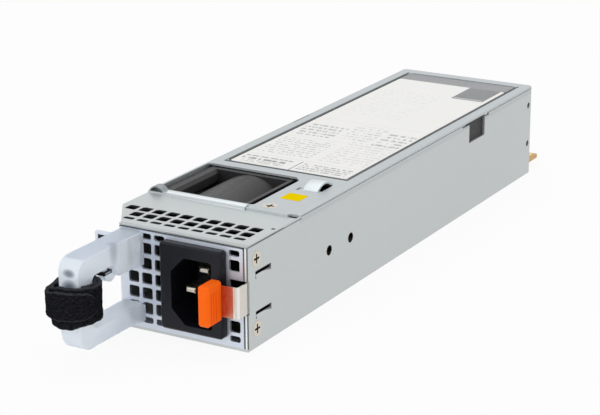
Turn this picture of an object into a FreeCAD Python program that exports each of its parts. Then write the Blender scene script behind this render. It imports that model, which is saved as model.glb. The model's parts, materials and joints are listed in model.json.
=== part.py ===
import FreeCAD, Part
import math
import os
import re

import Sketcher
from FreeCAD import Placement, Rotation, Vector

# Hot swap server power supply. Millimetres; X is the width, Y runs from the front plate to the rear,
# Z is up. The origin is the centre of the case's bottom face.

doc = FreeCAD.newDocument("power_supply")
sheet = doc.addObject("Spreadsheet::Sheet", "Sizes")

# Driving dimensions, one row each: name, value.
SIZES = [
    # case
    ("case_width", 62.5),
    ("case_height", 39.0),
    ("case_length", 238.0),
    ("tray_wall", 1.0),
    ("cover_wall", 0.8),
    ("plate_wall", 1.0),
    ("corner_cut_width", 10.65),
    ("corner_cut_length", 16.4),
    ("rear_corner_radius", 2.0),
    ("sheet_gap", 0.1),
    ("seat_gap", 0.3),
    ("seam_gap", 0.25),
    ("seam_depth", 0.5),
    # vents
    ("vent_pitch", 5.49),
    ("vent_hole", 4.2),
    ("vent_corner", 0.7),
    ("vent_clip", 0.5),
    ("vent_share", 0.2542),
    ("vent_first_share", 0.5155),
    ("vent_margin", 0.765),
    ("vent_row", 30.42),
    ("vent_right_margin", 5.05),
    ("vent_half", 2.2),
    ("nose_pitch_along", 5.68),
    ("nose_vent_hole", 4.4),
    ("nose_vent_rear_row", 16.3),
    ("nose_depth", 36.4),
    ("rear_vent_pitch", 5.5),
    # top cover
    ("cover_lap", 3.0),
    ("window_front", 37.2),
    ("window_rear", 72.9),
    ("window_margin", 1.25),
    ("window_over", 0.8),
    ("window_cut", 3.2),
    ("window_radius", 1.2),
    ("bead_left", -23.2),
    ("bead_rise", 0.6),
    ("bead_width", 4.6),
    ("label_front", 79.0),
    ("label_rear", 232.5),
    ("label_margin", 5.05),
    ("label_depth", 0.3),
    ("bridge_rise", 2.2),
    ("bridge_front", 60.2),
    ("bridge_chord", 12.0),
    ("bridge_width", 6.0),
    ("bridge_margin", 13.25),
    ("hood_width", 6.5),
    ("hood_rise", 1.9),
    ("hood_wall", 0.5),
    ("hood_length", 3.2),
    ("cover_rounding", 0.4),
    ("cover_notch", 1.5),
    ("hook_depth", 1.6),
    # screws
    ("screw_head_radius", 2.8),
    ("screw_shank_radius", 1.2),
    ("screw_head_depth", 0.8),
    ("screw_length", 3.6),
    ("recess_length", 3.4),
    ("recess_width", 0.8),
    ("recess_depth", 0.6),
    ("side_screw_depth", 6.2),
    ("side_screw_low", 6.7),
    ("side_screw_high", 32.0),
    ("cover_screw_aside", 6.6),
    ("cover_screw_depth", 39.0),
    # inlet
    ("bezel_width", 25.0),
    ("bezel_tall", 31.6),
    ("bezel_z", 19.7),
    ("bezel_depth", 3.4),
    ("bezel_radius", 1.2),
    ("inlet_wall", 1.6),
    ("cavity_margin", 20.35),
    ("bezel_margin", 20.75),
    ("cavity_z", 18.8),
    ("cavity_width", 16.4),
    ("cavity_tall", 24.4),
    ("cavity_cut", 5.4),
    ("cavity_depth", 17.0),
    ("inlet_floor", 3.0),
    ("pin_wide", 4.0),
    ("pin_thick", 2.0),
    ("pin_pitch", 7.0),
    ("pin_offset", 2.0),
    ("pin_length", 12.1),
    ("earth_pin_longer", 2.5),
    ("pin_bevel", 0.5),
    ("pin_tail", 5.0),
    ("inlet_board_tall", 28.0),
    ("inlet_board_wide", 24.0),
    ("small_board_thickness", 1.0),
    # latch
    ("latch_mid", 19.4),
    ("latch_strip_width", 11.3),
    ("latch_strip_thickness", 0.4),
    ("latch_reach", 5.6),
    ("latch_jog", 0.8),
    ("latch_bend_radius", 1.2),
    ("latch_cross", 10.25),
    ("latch_pivot_depth", 51.0),
    ("latch_notch", 12.2),
    ("latch_notch_depth", 1.3),
    ("latch_travel_room", 3.4),
    ("rivet_front_depth", 56.3),
    ("rivet_spacing", 16.1),
    ("rivet_radius", 2.25),
    ("rivet_bore", 1.95),
    ("rivet_flange", 0.5),
    ("grip_width", 4.4),
    ("grip_depth", 8.8),
    ("grip_tall", 14.5),
    ("grip_radius", 0.7),
    ("grip_margin", 11.15),
    ("lance_front", 5.3),
    ("lance_length", 10.2),
    ("lance_tall", 2.4),
    ("lance_slit", 0.85),
    ("lance_recess", 0.8),
    ("lance_low_drop", 8.7),
    ("lance_high_rise", 5.8),
    ("handle_margin", 0.6),
    # handle
    ("handle_width", 8.2),
    ("handle_bottom", 3.4),
    ("handle_top", 36.6),
    ("handle_reach", 36.5),
    ("grip_bar_depth", 8.4),
    ("upper_arm_tall", 7.8),
    ("lower_arm_tall", 6.7),
    ("foot_tall", 12.6),
    ("foot_length", 13.0),
    ("foot_slope", 3.6),
    ("foot_flare", 1.2),
    ("handle_hook", 3.0),
    ("handle_hook_tall", 4.0),
    ("handle_outer_radius", 5.0),
    ("handle_inner_radius", 2.0),
    ("handle_edge", 0.5),
    ("strap_tall", 14.5),
    ("strap_bottom", 13.5),
    ("strap_thickness", 5.2),
    ("strap_gap", 1.2),
    ("clip_width", 5.4),
    ("clip_length", 4.6),
    ("clip_tall", 1.3),
    ("clip_bar", 0.9),
    ("lug_radius", 3.6),
    ("lug_depth", 16.0),
    ("clip_reach", 21.3),
    ("key_tab_low", 24.5),
    ("key_tab_high", 33.6),
    ("key_tab_margin", 1.2),
    # side openings
    ("side_slot_front", 167.0),
    ("side_slot_rear", 192.4),
    ("side_slot_tall", 1.1),
    ("side_window_front", 173.6),
    ("side_window_rear", 188.4),
    ("side_window_low", 29.4),
    ("side_hole_radius", 1.3),
    ("side_hole_depth", 233.8),
    ("side_hole_low", 13.9),
    ("side_hole_high", 31.0),
    # fan
    ("fan_margin", 1.65),
    ("fan_width", 40.0),
    ("fan_front", 36.9),
    ("fan_length", 37.0),
    ("fan_flange", 3.6),
    ("fan_bore_margin", 1.45),
    ("fan_barrel_wall", 1.2),
    ("fan_corner", 2.5),
    ("fan_post", 5.6),
    ("fan_hole_radius", 1.7),
    ("hub_radius", 9.4),
    ("hub_wall", 1.2),
    ("hub_length", 22.0),
    ("blade_gap", 0.7),
    ("blade_thickness", 0.9),
    ("blade_twist", 42.0),
    ("fan_shaft_radius", 1.5),
    ("bearing_radius", 3.0),
    ("bearing_length", 3.0),
    ("bearing_fit", 0.03),
    ("stator_tube_wall", 0.8),
    ("stator_radius", 6.9),
    ("stator_length", 8.0),
    ("strut_width", 2.4),
    ("strut_depth", 2.0),
    ("magnet_wall", 0.9),
    # boards
    ("film_thickness", 0.4),
    ("film_front", 84.0),
    ("board_lift", 1.4),
    ("board_thickness", 1.6),
    ("board_front", 77.5),
    ("board_rear_gap", 1.5),
    ("board_side_gap", 1.3),
    ("arm_aside", 2.2),
    ("arm_margin", 4.05),
    ("arm_front", 30.0),
    ("tongue_left_margin", 11.25),
    ("tongue_right_margin", 2.65),
    ("tongue_reach", 14.0),
    ("contact_thickness", 0.1),
    ("standoff_radius", 2.4),
    ("board_screw_radius", 2.2),
    ("board_screw_tall", 1.2),
    # power stage
    ("bulk_radius", 10.5),
    ("bulk_tall", 30.0),
    ("bulk_depth", 98.0),
    ("bulk_spacing", 22.0),
    ("choke_radius", 6.0),
    ("choke_tube", 3.0),
    ("choke_depth", 113.5),
    ("sink_start", 106.0),
    ("sink_length", 48.0),
    ("second_sink_start", 134.0),
    ("sink_base", 2.0),
    ("sink_tall", 26.0),
    ("sink_fin", 1.4),
    ("sink_fin_reach", 4.0),
    ("wall_margin", 3.25),
    ("device_width", 12.0),
    ("device_tall", 14.0),
    ("device_thick", 4.0),
    ("transformer_x", -1.5),
    ("transformer_front", 162.0),
    ("transformer_width", 30.0),
    ("transformer_length", 28.0),
    ("transformer_tall", 26.0),
    ("core_wall", 5.5),
    ("winding_radius", 11.6),
    ("output_margin", 12.25),
    ("output_depth", 202.0),
    ("output_cap_radius", 5.0),
    ("output_cap_tall", 13.0),
    ("bar_depth", 194.0),
    ("card_front", 160.0),
    ("relay_depth", 86.0),
    ("bridge_depth", 80.0),
    ("bridge_x", -3.5),
    ("fuse_x", -8.0),
    ("standby_x", -14.0),
    ("standby_depth", 128.0),
    ("resonant_x", -14.0),
    ("bar_thickness", 1.6),
    ("bar_width", 9.0),
    ("bar_length", 17.0),
    ("card_tall", 24.0),
    ("card_length", 62.0),
    ("chip_side", 9.0),
    ("fuse_radius", 2.6),
    ("fuse_length", 20.0),
    ("relay_tall", 16.0),
    ("filter_cap_tall", 13.0),
]

for row, (alias, value) in enumerate(SIZES, 1):
    sheet.set(f"A{row}", alias)
    sheet.set(f"B{row}", str(value))
    sheet.setAlias(f"B{row}", alias)
doc.recompute()

ALIASES = {alias for alias, value in SIZES}
WORD = re.compile(r"[a-z_]+")

# Derived places, written as expressions on the sheet's names.
FRONT = "(-case_length / 2)"
REAR = "(case_length / 2)"
LEFT = "(-case_width / 2)"
RIGHT = "(case_width / 2)"
INNER_RIGHT = "(case_width / 2 - tray_wall)"
INNER_LEFT = "(tray_wall - case_width / 2)"
COVER_UNDER = "(case_height - cover_wall)"
NOSE_UNDER = "(case_height - 2 * cover_wall)"
BOARD_LOW = "(tray_wall + board_lift)"
BOARD_TOP = "(tray_wall + board_lift + board_thickness)"
CUT_SLOPE = "sqrt(corner_cut_width ^ 2 + corner_cut_length ^ 2) / corner_cut_length"
PLATE_LEFT = "(corner_cut_width - case_width / 2)"
PLATE_RIGHT = "(case_width / 2 - tray_wall - seat_gap)"
PLATE_TOP = "(case_height - 2 * cover_wall - seam_gap)"
CAVITY_X = "(case_width / 2 - cavity_margin)"
BEZEL_X = "(case_width / 2 - bezel_margin)"
OPENING_LEFT = f"({CAVITY_X} - cavity_width / 2 - inlet_wall - sheet_gap)"
VENT_PITCH_X = f"(({OPENING_LEFT} - {PLATE_LEFT}) * vent_share)"
VENT_COLUMN = f"({PLATE_LEFT} + ({OPENING_LEFT} - {PLATE_LEFT}) * vent_first_share)"
VENT_WIDTH = f"({VENT_PITCH_X} * vent_margin)"
VENT_RIGHT = "(case_width / 2 - vent_right_margin)"
NOSE_PITCH_X = "(case_width / 11.02)"
HANDLE_LEFT = f"({PLATE_LEFT} + handle_margin)"
HANDLE_RIGHT = f"({PLATE_LEFT} + handle_margin + handle_width)"
CLIP_LEFT = f"({HANDLE_RIGHT} - clip_width - seat_gap)"
CLIP_LOW = "(handle_top - upper_arm_tall - clip_tall - 3 * seat_gap)"
FAN_LEFT = "(fan_margin - case_width / 2)"
FAN_RIGHT = f"({FAN_LEFT} + fan_width)"
WINDOW_LEFT = "(window_margin - case_width / 2)"
WINDOW_RIGHT = f"({FAN_RIGHT} + window_over)"
BRIDGE_LEFT = "(case_width / 2 - bridge_margin)"
COVER_SCREW_X = f"({FAN_RIGHT} + cover_screw_aside)"
LANCES = {"low": "(latch_mid - lance_low_drop)", "high": "(latch_mid + lance_high_rise)"}
ARM_LEFT = f"({FAN_RIGHT} + arm_aside)"
ARM_RIGHT = "(case_width / 2 - arm_margin)"
TONGUE_LEFT = "(tongue_left_margin - case_width / 2)"
TONGUE_RIGHT = "(case_width / 2 - tongue_right_margin)"
BULK_X = "(case_width / 2 - tray_wall - board_side_gap - bulk_radius - 1)"

TURN_TO = {
    "X": Rotation(Vector(0, 1, 0), 90),
    "Y": Rotation(Vector(1, 0, 0), -90),
    "Z": Rotation(),
}
parts = {}


def formula(text):
    """The expression with each size's name led by the sheet's own name."""
    return WORD.sub(lambda found: "Sizes." + found[0] if found[0] in ALIASES else found[0], str(text))


def number(text):
    """The value of an expression on the sheet's names."""
    return float(sheet.evalExpression(formula(text)))


def back(depth):
    """A Y place, given as the depth behind the front plate's face."""
    return f"({FRONT} + {depth})"


def keep(label, thing):
    """Name an object as one sub-part of the supply."""
    thing.Label = label
    parts[label] = thing
    return thing


def place(thing, corner):
    for axis, text in zip("xyz", corner):
        thing.setExpression(f"Placement.Base.{axis}", formula(text))
    return thing


def box(name, corner, size):
    solid = doc.addObject("Part::Box", name)
    for side, text in zip(("Length", "Width", "Height"), size):
        solid.setExpression(side, formula(text))
    return place(solid, corner)


def rod(name, centre, radius, length, axis="Z"):
    solid = doc.addObject("Part::Cylinder", name)
    solid.Placement = Placement(Vector(), TURN_TO[axis])
    solid.setExpression("Radius", formula(radius))
    solid.setExpression("Height", formula(length))
    return place(solid, centre)


def prism(name, centre, radius, length):
    solid = doc.addObject("Part::Prism", name)
    solid.Polygon = 6
    solid.setExpression("Circumradius", formula(radius))
    solid.setExpression("Height", formula(length))
    return place(solid, centre)


def cone(name, centre, radius_low, radius_high, length, axis="Z"):
    solid = doc.addObject("Part::Cone", name)
    solid.Placement = Placement(Vector(), TURN_TO[axis])
    solid.setExpression("Radius1", formula(radius_low))
    solid.setExpression("Radius2", formula(radius_high))
    solid.setExpression("Height", formula(length))
    return place(solid, centre)


def join(name, solids):
    whole = doc.addObject("Part::MultiFuse", name)
    whole.Shapes = solids
    whole.Refine = True
    return whole


def group(name, solids):
    whole = doc.addObject("Part::Compound", name)
    whole.Links = solids
    return whole


def cut(name, base, tools):
    tool = tools[0] if len(tools) == 1 else join(name + "_tools", tools)
    result = doc.addObject("Part::Cut", name)
    result.Base = base
    result.Tool = tool
    result.Refine = True
    return result


def front_edges(solid):
    """The numbers of the edges round a solid's foremost face."""
    level = solid.Shape.BoundBox.YMin
    return [index for index, edge in enumerate(solid.Shape.Edges, 1)
            if all(abs(vertex.Y - level) < 1e-6 for vertex in edge.Vertexes)]


def soften(name, base, radius, indices, kind="Part::Fillet"):
    """Round or bevel some edges of a Part object."""
    result = doc.addObject(kind, name)
    result.Base = base
    result.Edges = [(index, number(radius), number(radius)) for index in indices]
    return result


def new_body(label):
    return keep(label, doc.addObject("PartDesign::Body", label))


def new_sketch(body, name, role, level="0"):
    """A sketch on an origin plane of the body, moved to a level along the world's axis."""
    sketch = body.newObject("Sketcher::SketchObject", name)
    plane = [item for item in body.Origin.OriginFeatures if item.Role == role][0]
    sketch.AttachmentSupport = [(plane, "")]
    sketch.MapMode = "FlatFace"
    sign = "-" if role == "XZ_Plane" else ""
    sketch.setExpression("AttachmentOffset.Base.z", formula(f"{sign}({level})"))
    return sketch


def pin_point(sketch, index, which, point):
    """Tie a point of the sketch to two expressions."""
    for kind, text in zip(("DistanceX", "DistanceY"), point):
        row = sketch.addConstraint(Sketcher.Constraint(kind, index, which, number(text)))
        sketch.setExpression(f"Constraints[{row}]", formula(text))


def toward(start, end, leg):
    """The point at a distance along the way from one point to another, as expressions."""
    run = [number(end[axis]) - number(start[axis]) for axis in (0, 1)]
    length = math.hypot(*run)
    return tuple(start[axis] if abs(run[axis]) < 1e-9
                 else f"({start[axis]}) + ({leg}) * {run[axis] / length:.6f}" for axis in (0, 1))


def outline(sketch, points):
    """A closed outline. Each point is (across, up) or (across, up, radius of its corner)."""
    spots = [Vector(number(point[0]), number(point[1]), 0) for point in points]
    corners = []
    for index, point in enumerate(points):
        if len(point) == 2:
            corners.append([point])
            continue
        before, after = points[index - 1], points[(index + 1) % len(points)]
        one = spots[index - 1] - spots[index]
        other = spots[(index + 1) % len(points)] - spots[index]
        leg = f"({point[2]}) / {math.tan(one.getAngle(other) / 2):.6f}"
        corners.append([toward(point, before, leg), toward(point, after, leg)])
    lines = []
    for index, corner in enumerate(corners):
        start, end = corner[-1], corners[(index + 1) % len(corners)][0]
        ends = [Vector(number(spot[0]), number(spot[1]), 0) for spot in (start, end)]
        lines.append(sketch.addGeometry(Part.LineSegment(*ends)))
        pin_point(sketch, lines[-1], 1, start)
    for index, corner in enumerate(corners):
        before, after = lines[index - 1], lines[index]
        if len(corner) == 1:
            sketch.addConstraint(Sketcher.Constraint("Coincident", before, 2, after, 1))
            continue
        pin_point(sketch, before, 2, corner[0])
        low, high = sketch.Geometry[before].EndPoint, sketch.Geometry[after].StartPoint
        inwards = ((low + high) / 2 - spots[index]).normalize()
        add_arc(sketch, low, high, inwards, (before, 2), (after, 1), points[index][2])
    return sketch


def add_arc(sketch, low, high, inwards, low_end, high_end, radius):
    """A short arc between the ends of two lines, its radius tied to an expression."""
    size = number(radius)
    centre = (low + high) / 2 + inwards * math.sqrt(max(size ** 2 - (high - low).Length ** 2 / 4, 0))
    ends = [(math.atan2(spot.y - centre.y, spot.x - centre.x), end)
            for spot, end in ((low, low_end), (high, high_end))]
    if (ends[1][0] - ends[0][0]) % math.tau > math.pi:
        ends.reverse()
    ring = Part.Circle(centre, Vector(0, 0, 1), size)
    arc = sketch.addGeometry(Part.ArcOfCircle(ring, ends[0][0], ends[1][0]))
    for point, (angle, end) in enumerate(ends, 1):
        sketch.addConstraint(Sketcher.Constraint("Coincident", *end, arc, point))
    row = sketch.addConstraint(Sketcher.Constraint("Radius", arc, size))
    sketch.setExpression(f"Constraints[{row}]", formula(radius))


def rectangle(sketch, across, up, width, tall, radius="0"):
    """A rectangle by its low corner, with its corners rounded to a radius."""
    tail = (radius,) if radius != "0" else ()
    far, high = f"{across} + {width}", f"{up} + {tall}"
    return outline(sketch, [(across, up) + tail, (far, up) + tail, (far, high) + tail, (across, high) + tail])


def clipped(sketch, across, up, width, tall, clip):
    """A rectangle by its low corner, with its corners cut off."""
    far, high = f"{across} + {width}", f"{up} + {tall}"
    return outline(sketch, [
        (f"{across} + {clip}", up),
        (f"{far} - {clip}", up),
        (far, f"{up} + {clip}"),
        (far, f"{high} - {clip}"),
        (f"{far} - {clip}", high),
        (f"{across} + {clip}", high),
        (across, f"{high} - {clip}"),
        (across, f"{up} + {clip}"),
    ])


def circle(sketch, across, up, radius):
    middle = Vector(number(across), number(up), 0)
    ring = sketch.addGeometry(Part.Circle(middle, Vector(0, 0, 1), number(radius)))
    pin_point(sketch, ring, 3, (across, up))
    row = sketch.addConstraint(Sketcher.Constraint("Radius", ring, number(radius)))
    sketch.setExpression(f"Constraints[{row}]", formula(radius))
    return sketch


def arch(sketch, across, up, chord, rise):
    """A low arch: an arc over a chord, closed by the chord."""
    radius = f"((({chord}) / 2) ^ 2 + ({rise}) ^ 2) / (2 * ({rise}))"
    start = Vector(number(across), number(up), 0)
    end = start + Vector(number(chord), 0, 0)
    line = sketch.addGeometry(Part.LineSegment(start, end))
    pin_point(sketch, line, 1, (across, up))
    pin_point(sketch, line, 2, (f"{across} + {chord}", up))
    add_arc(sketch, start, end, Vector(0, -1, 0), (line, 1), (line, 2), radius)
    return sketch


def grow(body, sketch, length, kind="PartDesign::Pad"):
    """Pad or pocket a sketch towards the world's positive axis."""
    feature = body.newObject(kind, sketch.Name + ("_pad" if kind.endswith("Pad") else "_pocket"))
    feature.Profile = sketch
    feature.setExpression("Length", formula(length))
    across_y = sketch.AttachmentSupport[0][0].Role == "XZ_Plane"
    feature.Reversed = across_y if kind.endswith("Pad") else not across_y
    body.Tip = feature
    return feature


def carve(body, sketch, length):
    """Pocket a sketch, and see that it takes something away."""
    doc.recompute()
    before = body.Shape.Volume
    feature = grow(body, sketch, length, "PartDesign::Pocket")
    doc.recompute()
    if not feature.Shape.Volume < before:
        raise RuntimeError(f"{feature.Name} cuts nothing")
    return feature


def dress(body, kind, name, size, wanted):
    """Round or bevel the body's edges that a test picks out."""
    doc.recompute()
    base = body.Tip
    names = [f"Edge{index}" for index, edge in enumerate(base.Shape.Edges, 1) if wanted(edge)]
    feature = body.newObject(f"PartDesign::{kind}", name)
    feature.Base = (base, names)
    feature.setExpression("Radius" if kind == "Fillet" else "Size", formula(size))
    body.Tip = feature
    return feature


def lies_at(axis, value):
    """A test for edges whose ends all lie at one level along an axis."""
    level = number(value)
    return lambda edge: all(abs(getattr(vertex, axis) - level) < 1e-6 for vertex in edge.Vertexes)


def repeat(body, feature, sketch, first, second=None):
    """Repeat a feature in rows along the sketch's axes: (axis, spacing, count), count a number."""
    pattern = body.newObject("PartDesign::LinearPattern", feature.Name + "_rows")
    pattern.Originals = [feature]
    for tail, rule in (("", first), ("2", second)):
        if rule is None:
            continue
        axis, spacing, count = rule
        setattr(pattern, "Direction" + tail, (sketch, [axis]))
        setattr(pattern, "Mode" + tail, "Spacing")
        pattern.setExpression("Offset" + tail, formula(spacing))
        setattr(pattern, "Occurrences" + tail, count)
        setattr(pattern, "Spacings" + tail, [-1.0] * (count - 1))
    body.Tip = pattern
    doc.recompute()
    return pattern


def inwards(centre, axis, depth):
    """A place below a screw's face."""
    spot = list(centre)
    column = "XYZ".index(axis)
    spot[column] = f"{centre[column]} - ({depth})"
    return spot


def countersunk(name, centre, axis):
    """A countersunk screw with a cross recess, its face at the centre, its shank running down the axis."""
    head = cone(name + "_head", inwards(centre, axis, "screw_head_depth"), "screw_shank_radius",
                "screw_head_radius", "screw_head_depth", axis)
    shank = rod(name + "_shank", inwards(centre, axis, "screw_length"), "screw_shank_radius",
                "screw_length - screw_head_depth", axis)
    across = [column for column in range(3) if column != "XYZ".index(axis)]
    bars = []
    for word, long_side in zip(("one", "other"), across):
        corner = inwards(centre, axis, "recess_depth")
        extent = ["recess_depth + 1"] * 3
        for column in across:
            extent[column] = "recess_length" if column == long_side else "recess_width"
            corner[column] = f"{centre[column]} - {extent[column]} / 2"
        bars.append(box(f"{name}_recess_{word}", corner, extent))
    return cut(name, join(name + "_solid", [head, shank]), bars)


def screw_seat(name, centre, axis, clearance="sheet_gap"):
    """The countersunk hole that a screw of countersunk() sits in."""
    head = cone(name + "_sink", inwards(centre, axis, "screw_head_depth"), f"screw_shank_radius + {clearance}",
                f"screw_head_radius + {clearance}", "screw_head_depth", axis)
    hole = rod(name + "_hole", inwards(centre, axis, f"screw_length + {clearance}"),
               f"screw_shank_radius + {clearance}", f"screw_length + {clearance}", axis)
    return [head, hole]


# Case tray: one folded sheet with the bottom, both sides, the cut corner and the rear wall.
SIDE_SCREWS = [
    (RIGHT, back("side_screw_depth"), "side_screw_low"),
    (RIGHT, back("side_screw_depth"), "side_screw_high"),
]


def make_tray():
    body = doc.addObject("PartDesign::Body", "tray_sheet")
    plan = new_sketch(body, "tray_plan", "XY_Plane")
    cut_start = back("plate_wall + sheet_gap")
    cut_end = back("plate_wall + sheet_gap + corner_cut_length")
    outline(plan, [
        (PLATE_LEFT, FRONT),
        (RIGHT, FRONT),
        (RIGHT, REAR, "rear_corner_radius"),
        (LEFT, REAR, "rear_corner_radius"),
        (LEFT, cut_end),
        (PLATE_LEFT, cut_start),
    ])
    grow(body, plan, COVER_UNDER)
    hollow = new_sketch(body, "tray_hollow", "XY_Plane", "tray_wall")
    inner_left_end = back(f"plate_wall + sheet_gap + corner_cut_length"
                          f" + tray_wall * ({CUT_SLOPE} - 1) * corner_cut_length / corner_cut_width")
    outline(hollow, [
        (f"{PLATE_LEFT} + tray_wall * {CUT_SLOPE}", back("-1")),
        (INNER_RIGHT, back("-1")),
        (INNER_RIGHT, f"{REAR} - tray_wall", "rear_corner_radius - tray_wall"),
        (INNER_LEFT, f"{REAR} - tray_wall", "rear_corner_radius - tray_wall"),
        (INNER_LEFT, inner_left_end),
        (f"{PLATE_LEFT} + tray_wall * {CUT_SLOPE}", cut_start),
    ])
    carve(body, hollow, "case_height")
    front_room = new_sketch(body, "plate_room", "XY_Plane", "tray_wall")
    rectangle(front_room, f"{PLATE_LEFT} - 1", back("-1"), "tray_wall + 4", "plate_wall + sheet_gap + 1")
    carve(body, front_room, "case_height")
    nose_step = new_sketch(body, "nose_step", "XY_Plane", NOSE_UNDER)
    rectangle(nose_step, f"{LEFT} - 1", back("-1"), "case_width + 2", "nose_depth + sheet_gap + 1")
    carve(body, nose_step, "case_height")

    notch = new_sketch(body, "latch_notch_cut", "YZ_Plane", f"{INNER_RIGHT} - 1")
    rectangle(notch, back("-1"), "latch_mid - latch_notch / 2", "latch_notch_depth + 1", "latch_notch")
    carve(body, notch, "tray_wall + 2")
    for word, low in LANCES.items():
        slit = new_sketch(body, f"lance_{word}", "YZ_Plane", f"{INNER_RIGHT} - 1")
        outline(slit, [
            (back("lance_front"), f"{low} - lance_slit / 3"),
            (back("lance_front + lance_slit * 0.7"), f"{low} - lance_slit / 3"),
            (back("lance_front + lance_slit * 0.7"), f"{low} + lance_tall - lance_slit"),
            (back("lance_front + lance_length"), f"{low} + lance_tall - lance_slit"),
            (back("lance_front + lance_length"), f"{low} + lance_tall"),
            (back("lance_front"), f"{low} + lance_tall"),
        ])
        carve(body, slit, "tray_wall + 2")
        dent = new_sketch(body, f"dent_{word}", "XZ_Plane", back("lance_front"))
        outline(dent, [
            (RIGHT, low),
            (f"{RIGHT} + 1", low),
            (f"{RIGHT} + 1", f"{low} + lance_tall"),
            (f"{RIGHT} - lance_recess", f"{low} + lance_tall"),
        ])
        carve(body, dent, "lance_length")
    for word, start, run, top in (("nose", back("-1"), "nose_depth + sheet_gap + 1", NOSE_UNDER),
                                  ("cover", back("nose_depth"), "case_length - nose_depth + 1", COVER_UNDER)):
        seam = new_sketch(body, f"seam_{word}", "YZ_Plane", f"{RIGHT} - seam_depth")
        rectangle(seam, start, f"{top} - seam_gap", run, "seam_gap + 1")
        carve(body, seam, "seam_depth + 1")
    seam = new_sketch(body, "seam_left", "YZ_Plane", f"{LEFT} - 1")
    rectangle(seam, back("nose_depth"), f"{COVER_UNDER} - seam_gap", "case_length - nose_depth + 1",
              "seam_gap + 1")
    carve(body, seam, "seam_depth + 1")
    rivet_hole = new_sketch(body, "rivet_hole", "YZ_Plane", f"{INNER_RIGHT} - 1")
    circle(rivet_hole, back("rivet_front_depth"), "latch_mid", "rivet_radius + bearing_fit")
    rivet_cut = carve(body, rivet_hole, "tray_wall + 2")
    repeat(body, rivet_cut, rivet_hole, ("H_Axis", "rivet_spacing", 2))
    window = new_sketch(body, "side_window", "YZ_Plane", f"{INNER_RIGHT} - 1")
    rectangle(window, back("side_window_front"), "side_window_low", "side_window_rear - side_window_front",
              "case_height - side_window_low")
    carve(body, window, "tray_wall + 2")
    slot = new_sketch(body, "side_slot", "YZ_Plane", f"{INNER_RIGHT} - 1")
    rectangle(slot, back("side_slot_front"), f"{COVER_UNDER} - side_slot_tall",
              "side_slot_rear - side_slot_front", "side_slot_tall + 1")
    carve(body, slot, "tray_wall + 2")
    for word, level in (("low", "side_hole_low"), ("high", "side_hole_high")):
        hole = new_sketch(body, f"side_hole_{word}", "YZ_Plane", f"{INNER_RIGHT} - 1")
        circle(hole, back("side_hole_depth"), level, "side_hole_radius")
        carve(body, hole, "tray_wall + 2")

    tongue_slot = new_sketch(body, "tongue_slot", "XZ_Plane", f"{REAR} - tray_wall - 1")
    rectangle(tongue_slot, f"{TONGUE_LEFT} - seat_gap", f"{BOARD_LOW} - seat_gap - 0.4",
              f"{TONGUE_RIGHT} - {TONGUE_LEFT} + 2 * seat_gap", "board_thickness + 2 * seat_gap + 0.8")
    carve(body, tongue_slot, "tray_wall + 2")
    rear_vent = new_sketch(body, "rear_vent", "XZ_Plane", f"{REAR} - tray_wall - 1")
    rectangle(rear_vent, "-4.5 * rear_vent_pitch - vent_hole / 2", "12 - vent_hole / 2",
              "vent_hole", "vent_hole")
    rear_cut = carve(body, rear_vent, "tray_wall + 2")
    repeat(body, rear_cut, rear_vent, ("H_Axis", "rear_vent_pitch", 10), ("V_Axis", "rear_vent_pitch", 5))
    seats = []
    for number_of, centre in enumerate(SIDE_SCREWS):
        seats += screw_seat(f"side_seat_{number_of}", centre, "X")
    keep("case_tray", cut("case_tray_cut", body, seats))


# Top of the nose: a vented sheet that lies on the tray's sides and under the top cover's front edge.
def make_nose_cover():
    body = new_body("nose_cover")
    plan = new_sketch(body, "nose_plan", "XY_Plane", NOSE_UNDER)
    outline(plan, [
        (PLATE_LEFT, FRONT),
        (RIGHT, FRONT),
        (RIGHT, back("nose_depth")),
        (LEFT, back("nose_depth")),
        (LEFT, back("plate_wall + sheet_gap + corner_cut_length")),
        (PLATE_LEFT, back("plate_wall + sheet_gap")),
    ])
    grow(body, plan, "cover_wall")
    rows = (
        ("rear", f"-4.6 * {NOSE_PITCH_X}", "nose_vent_rear_row", 10, "nose_vent_hole"),
        ("middle", f"-3.6 * {NOSE_PITCH_X}", "nose_vent_rear_row - nose_pitch_along", 9, "nose_vent_hole"),
        ("front", f"-3.6 * {NOSE_PITCH_X}", "nose_vent_rear_row - 1.85 * nose_pitch_along", 9, "vent_half"),
    )
    for word, first, depth, count, along in rows:
        vent = new_sketch(body, f"nose_vent_{word}", "XY_Plane", f"{NOSE_UNDER} - 1")
        clipped(vent, f"{first} - nose_vent_hole / 2", f"{back(depth)} - {along} / 2",
                "nose_vent_hole", along, "vent_clip")
        hole = carve(body, vent, "cover_wall + 2")
        repeat(body, hole, vent, ("H_Axis", NOSE_PITCH_X, count))


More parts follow.
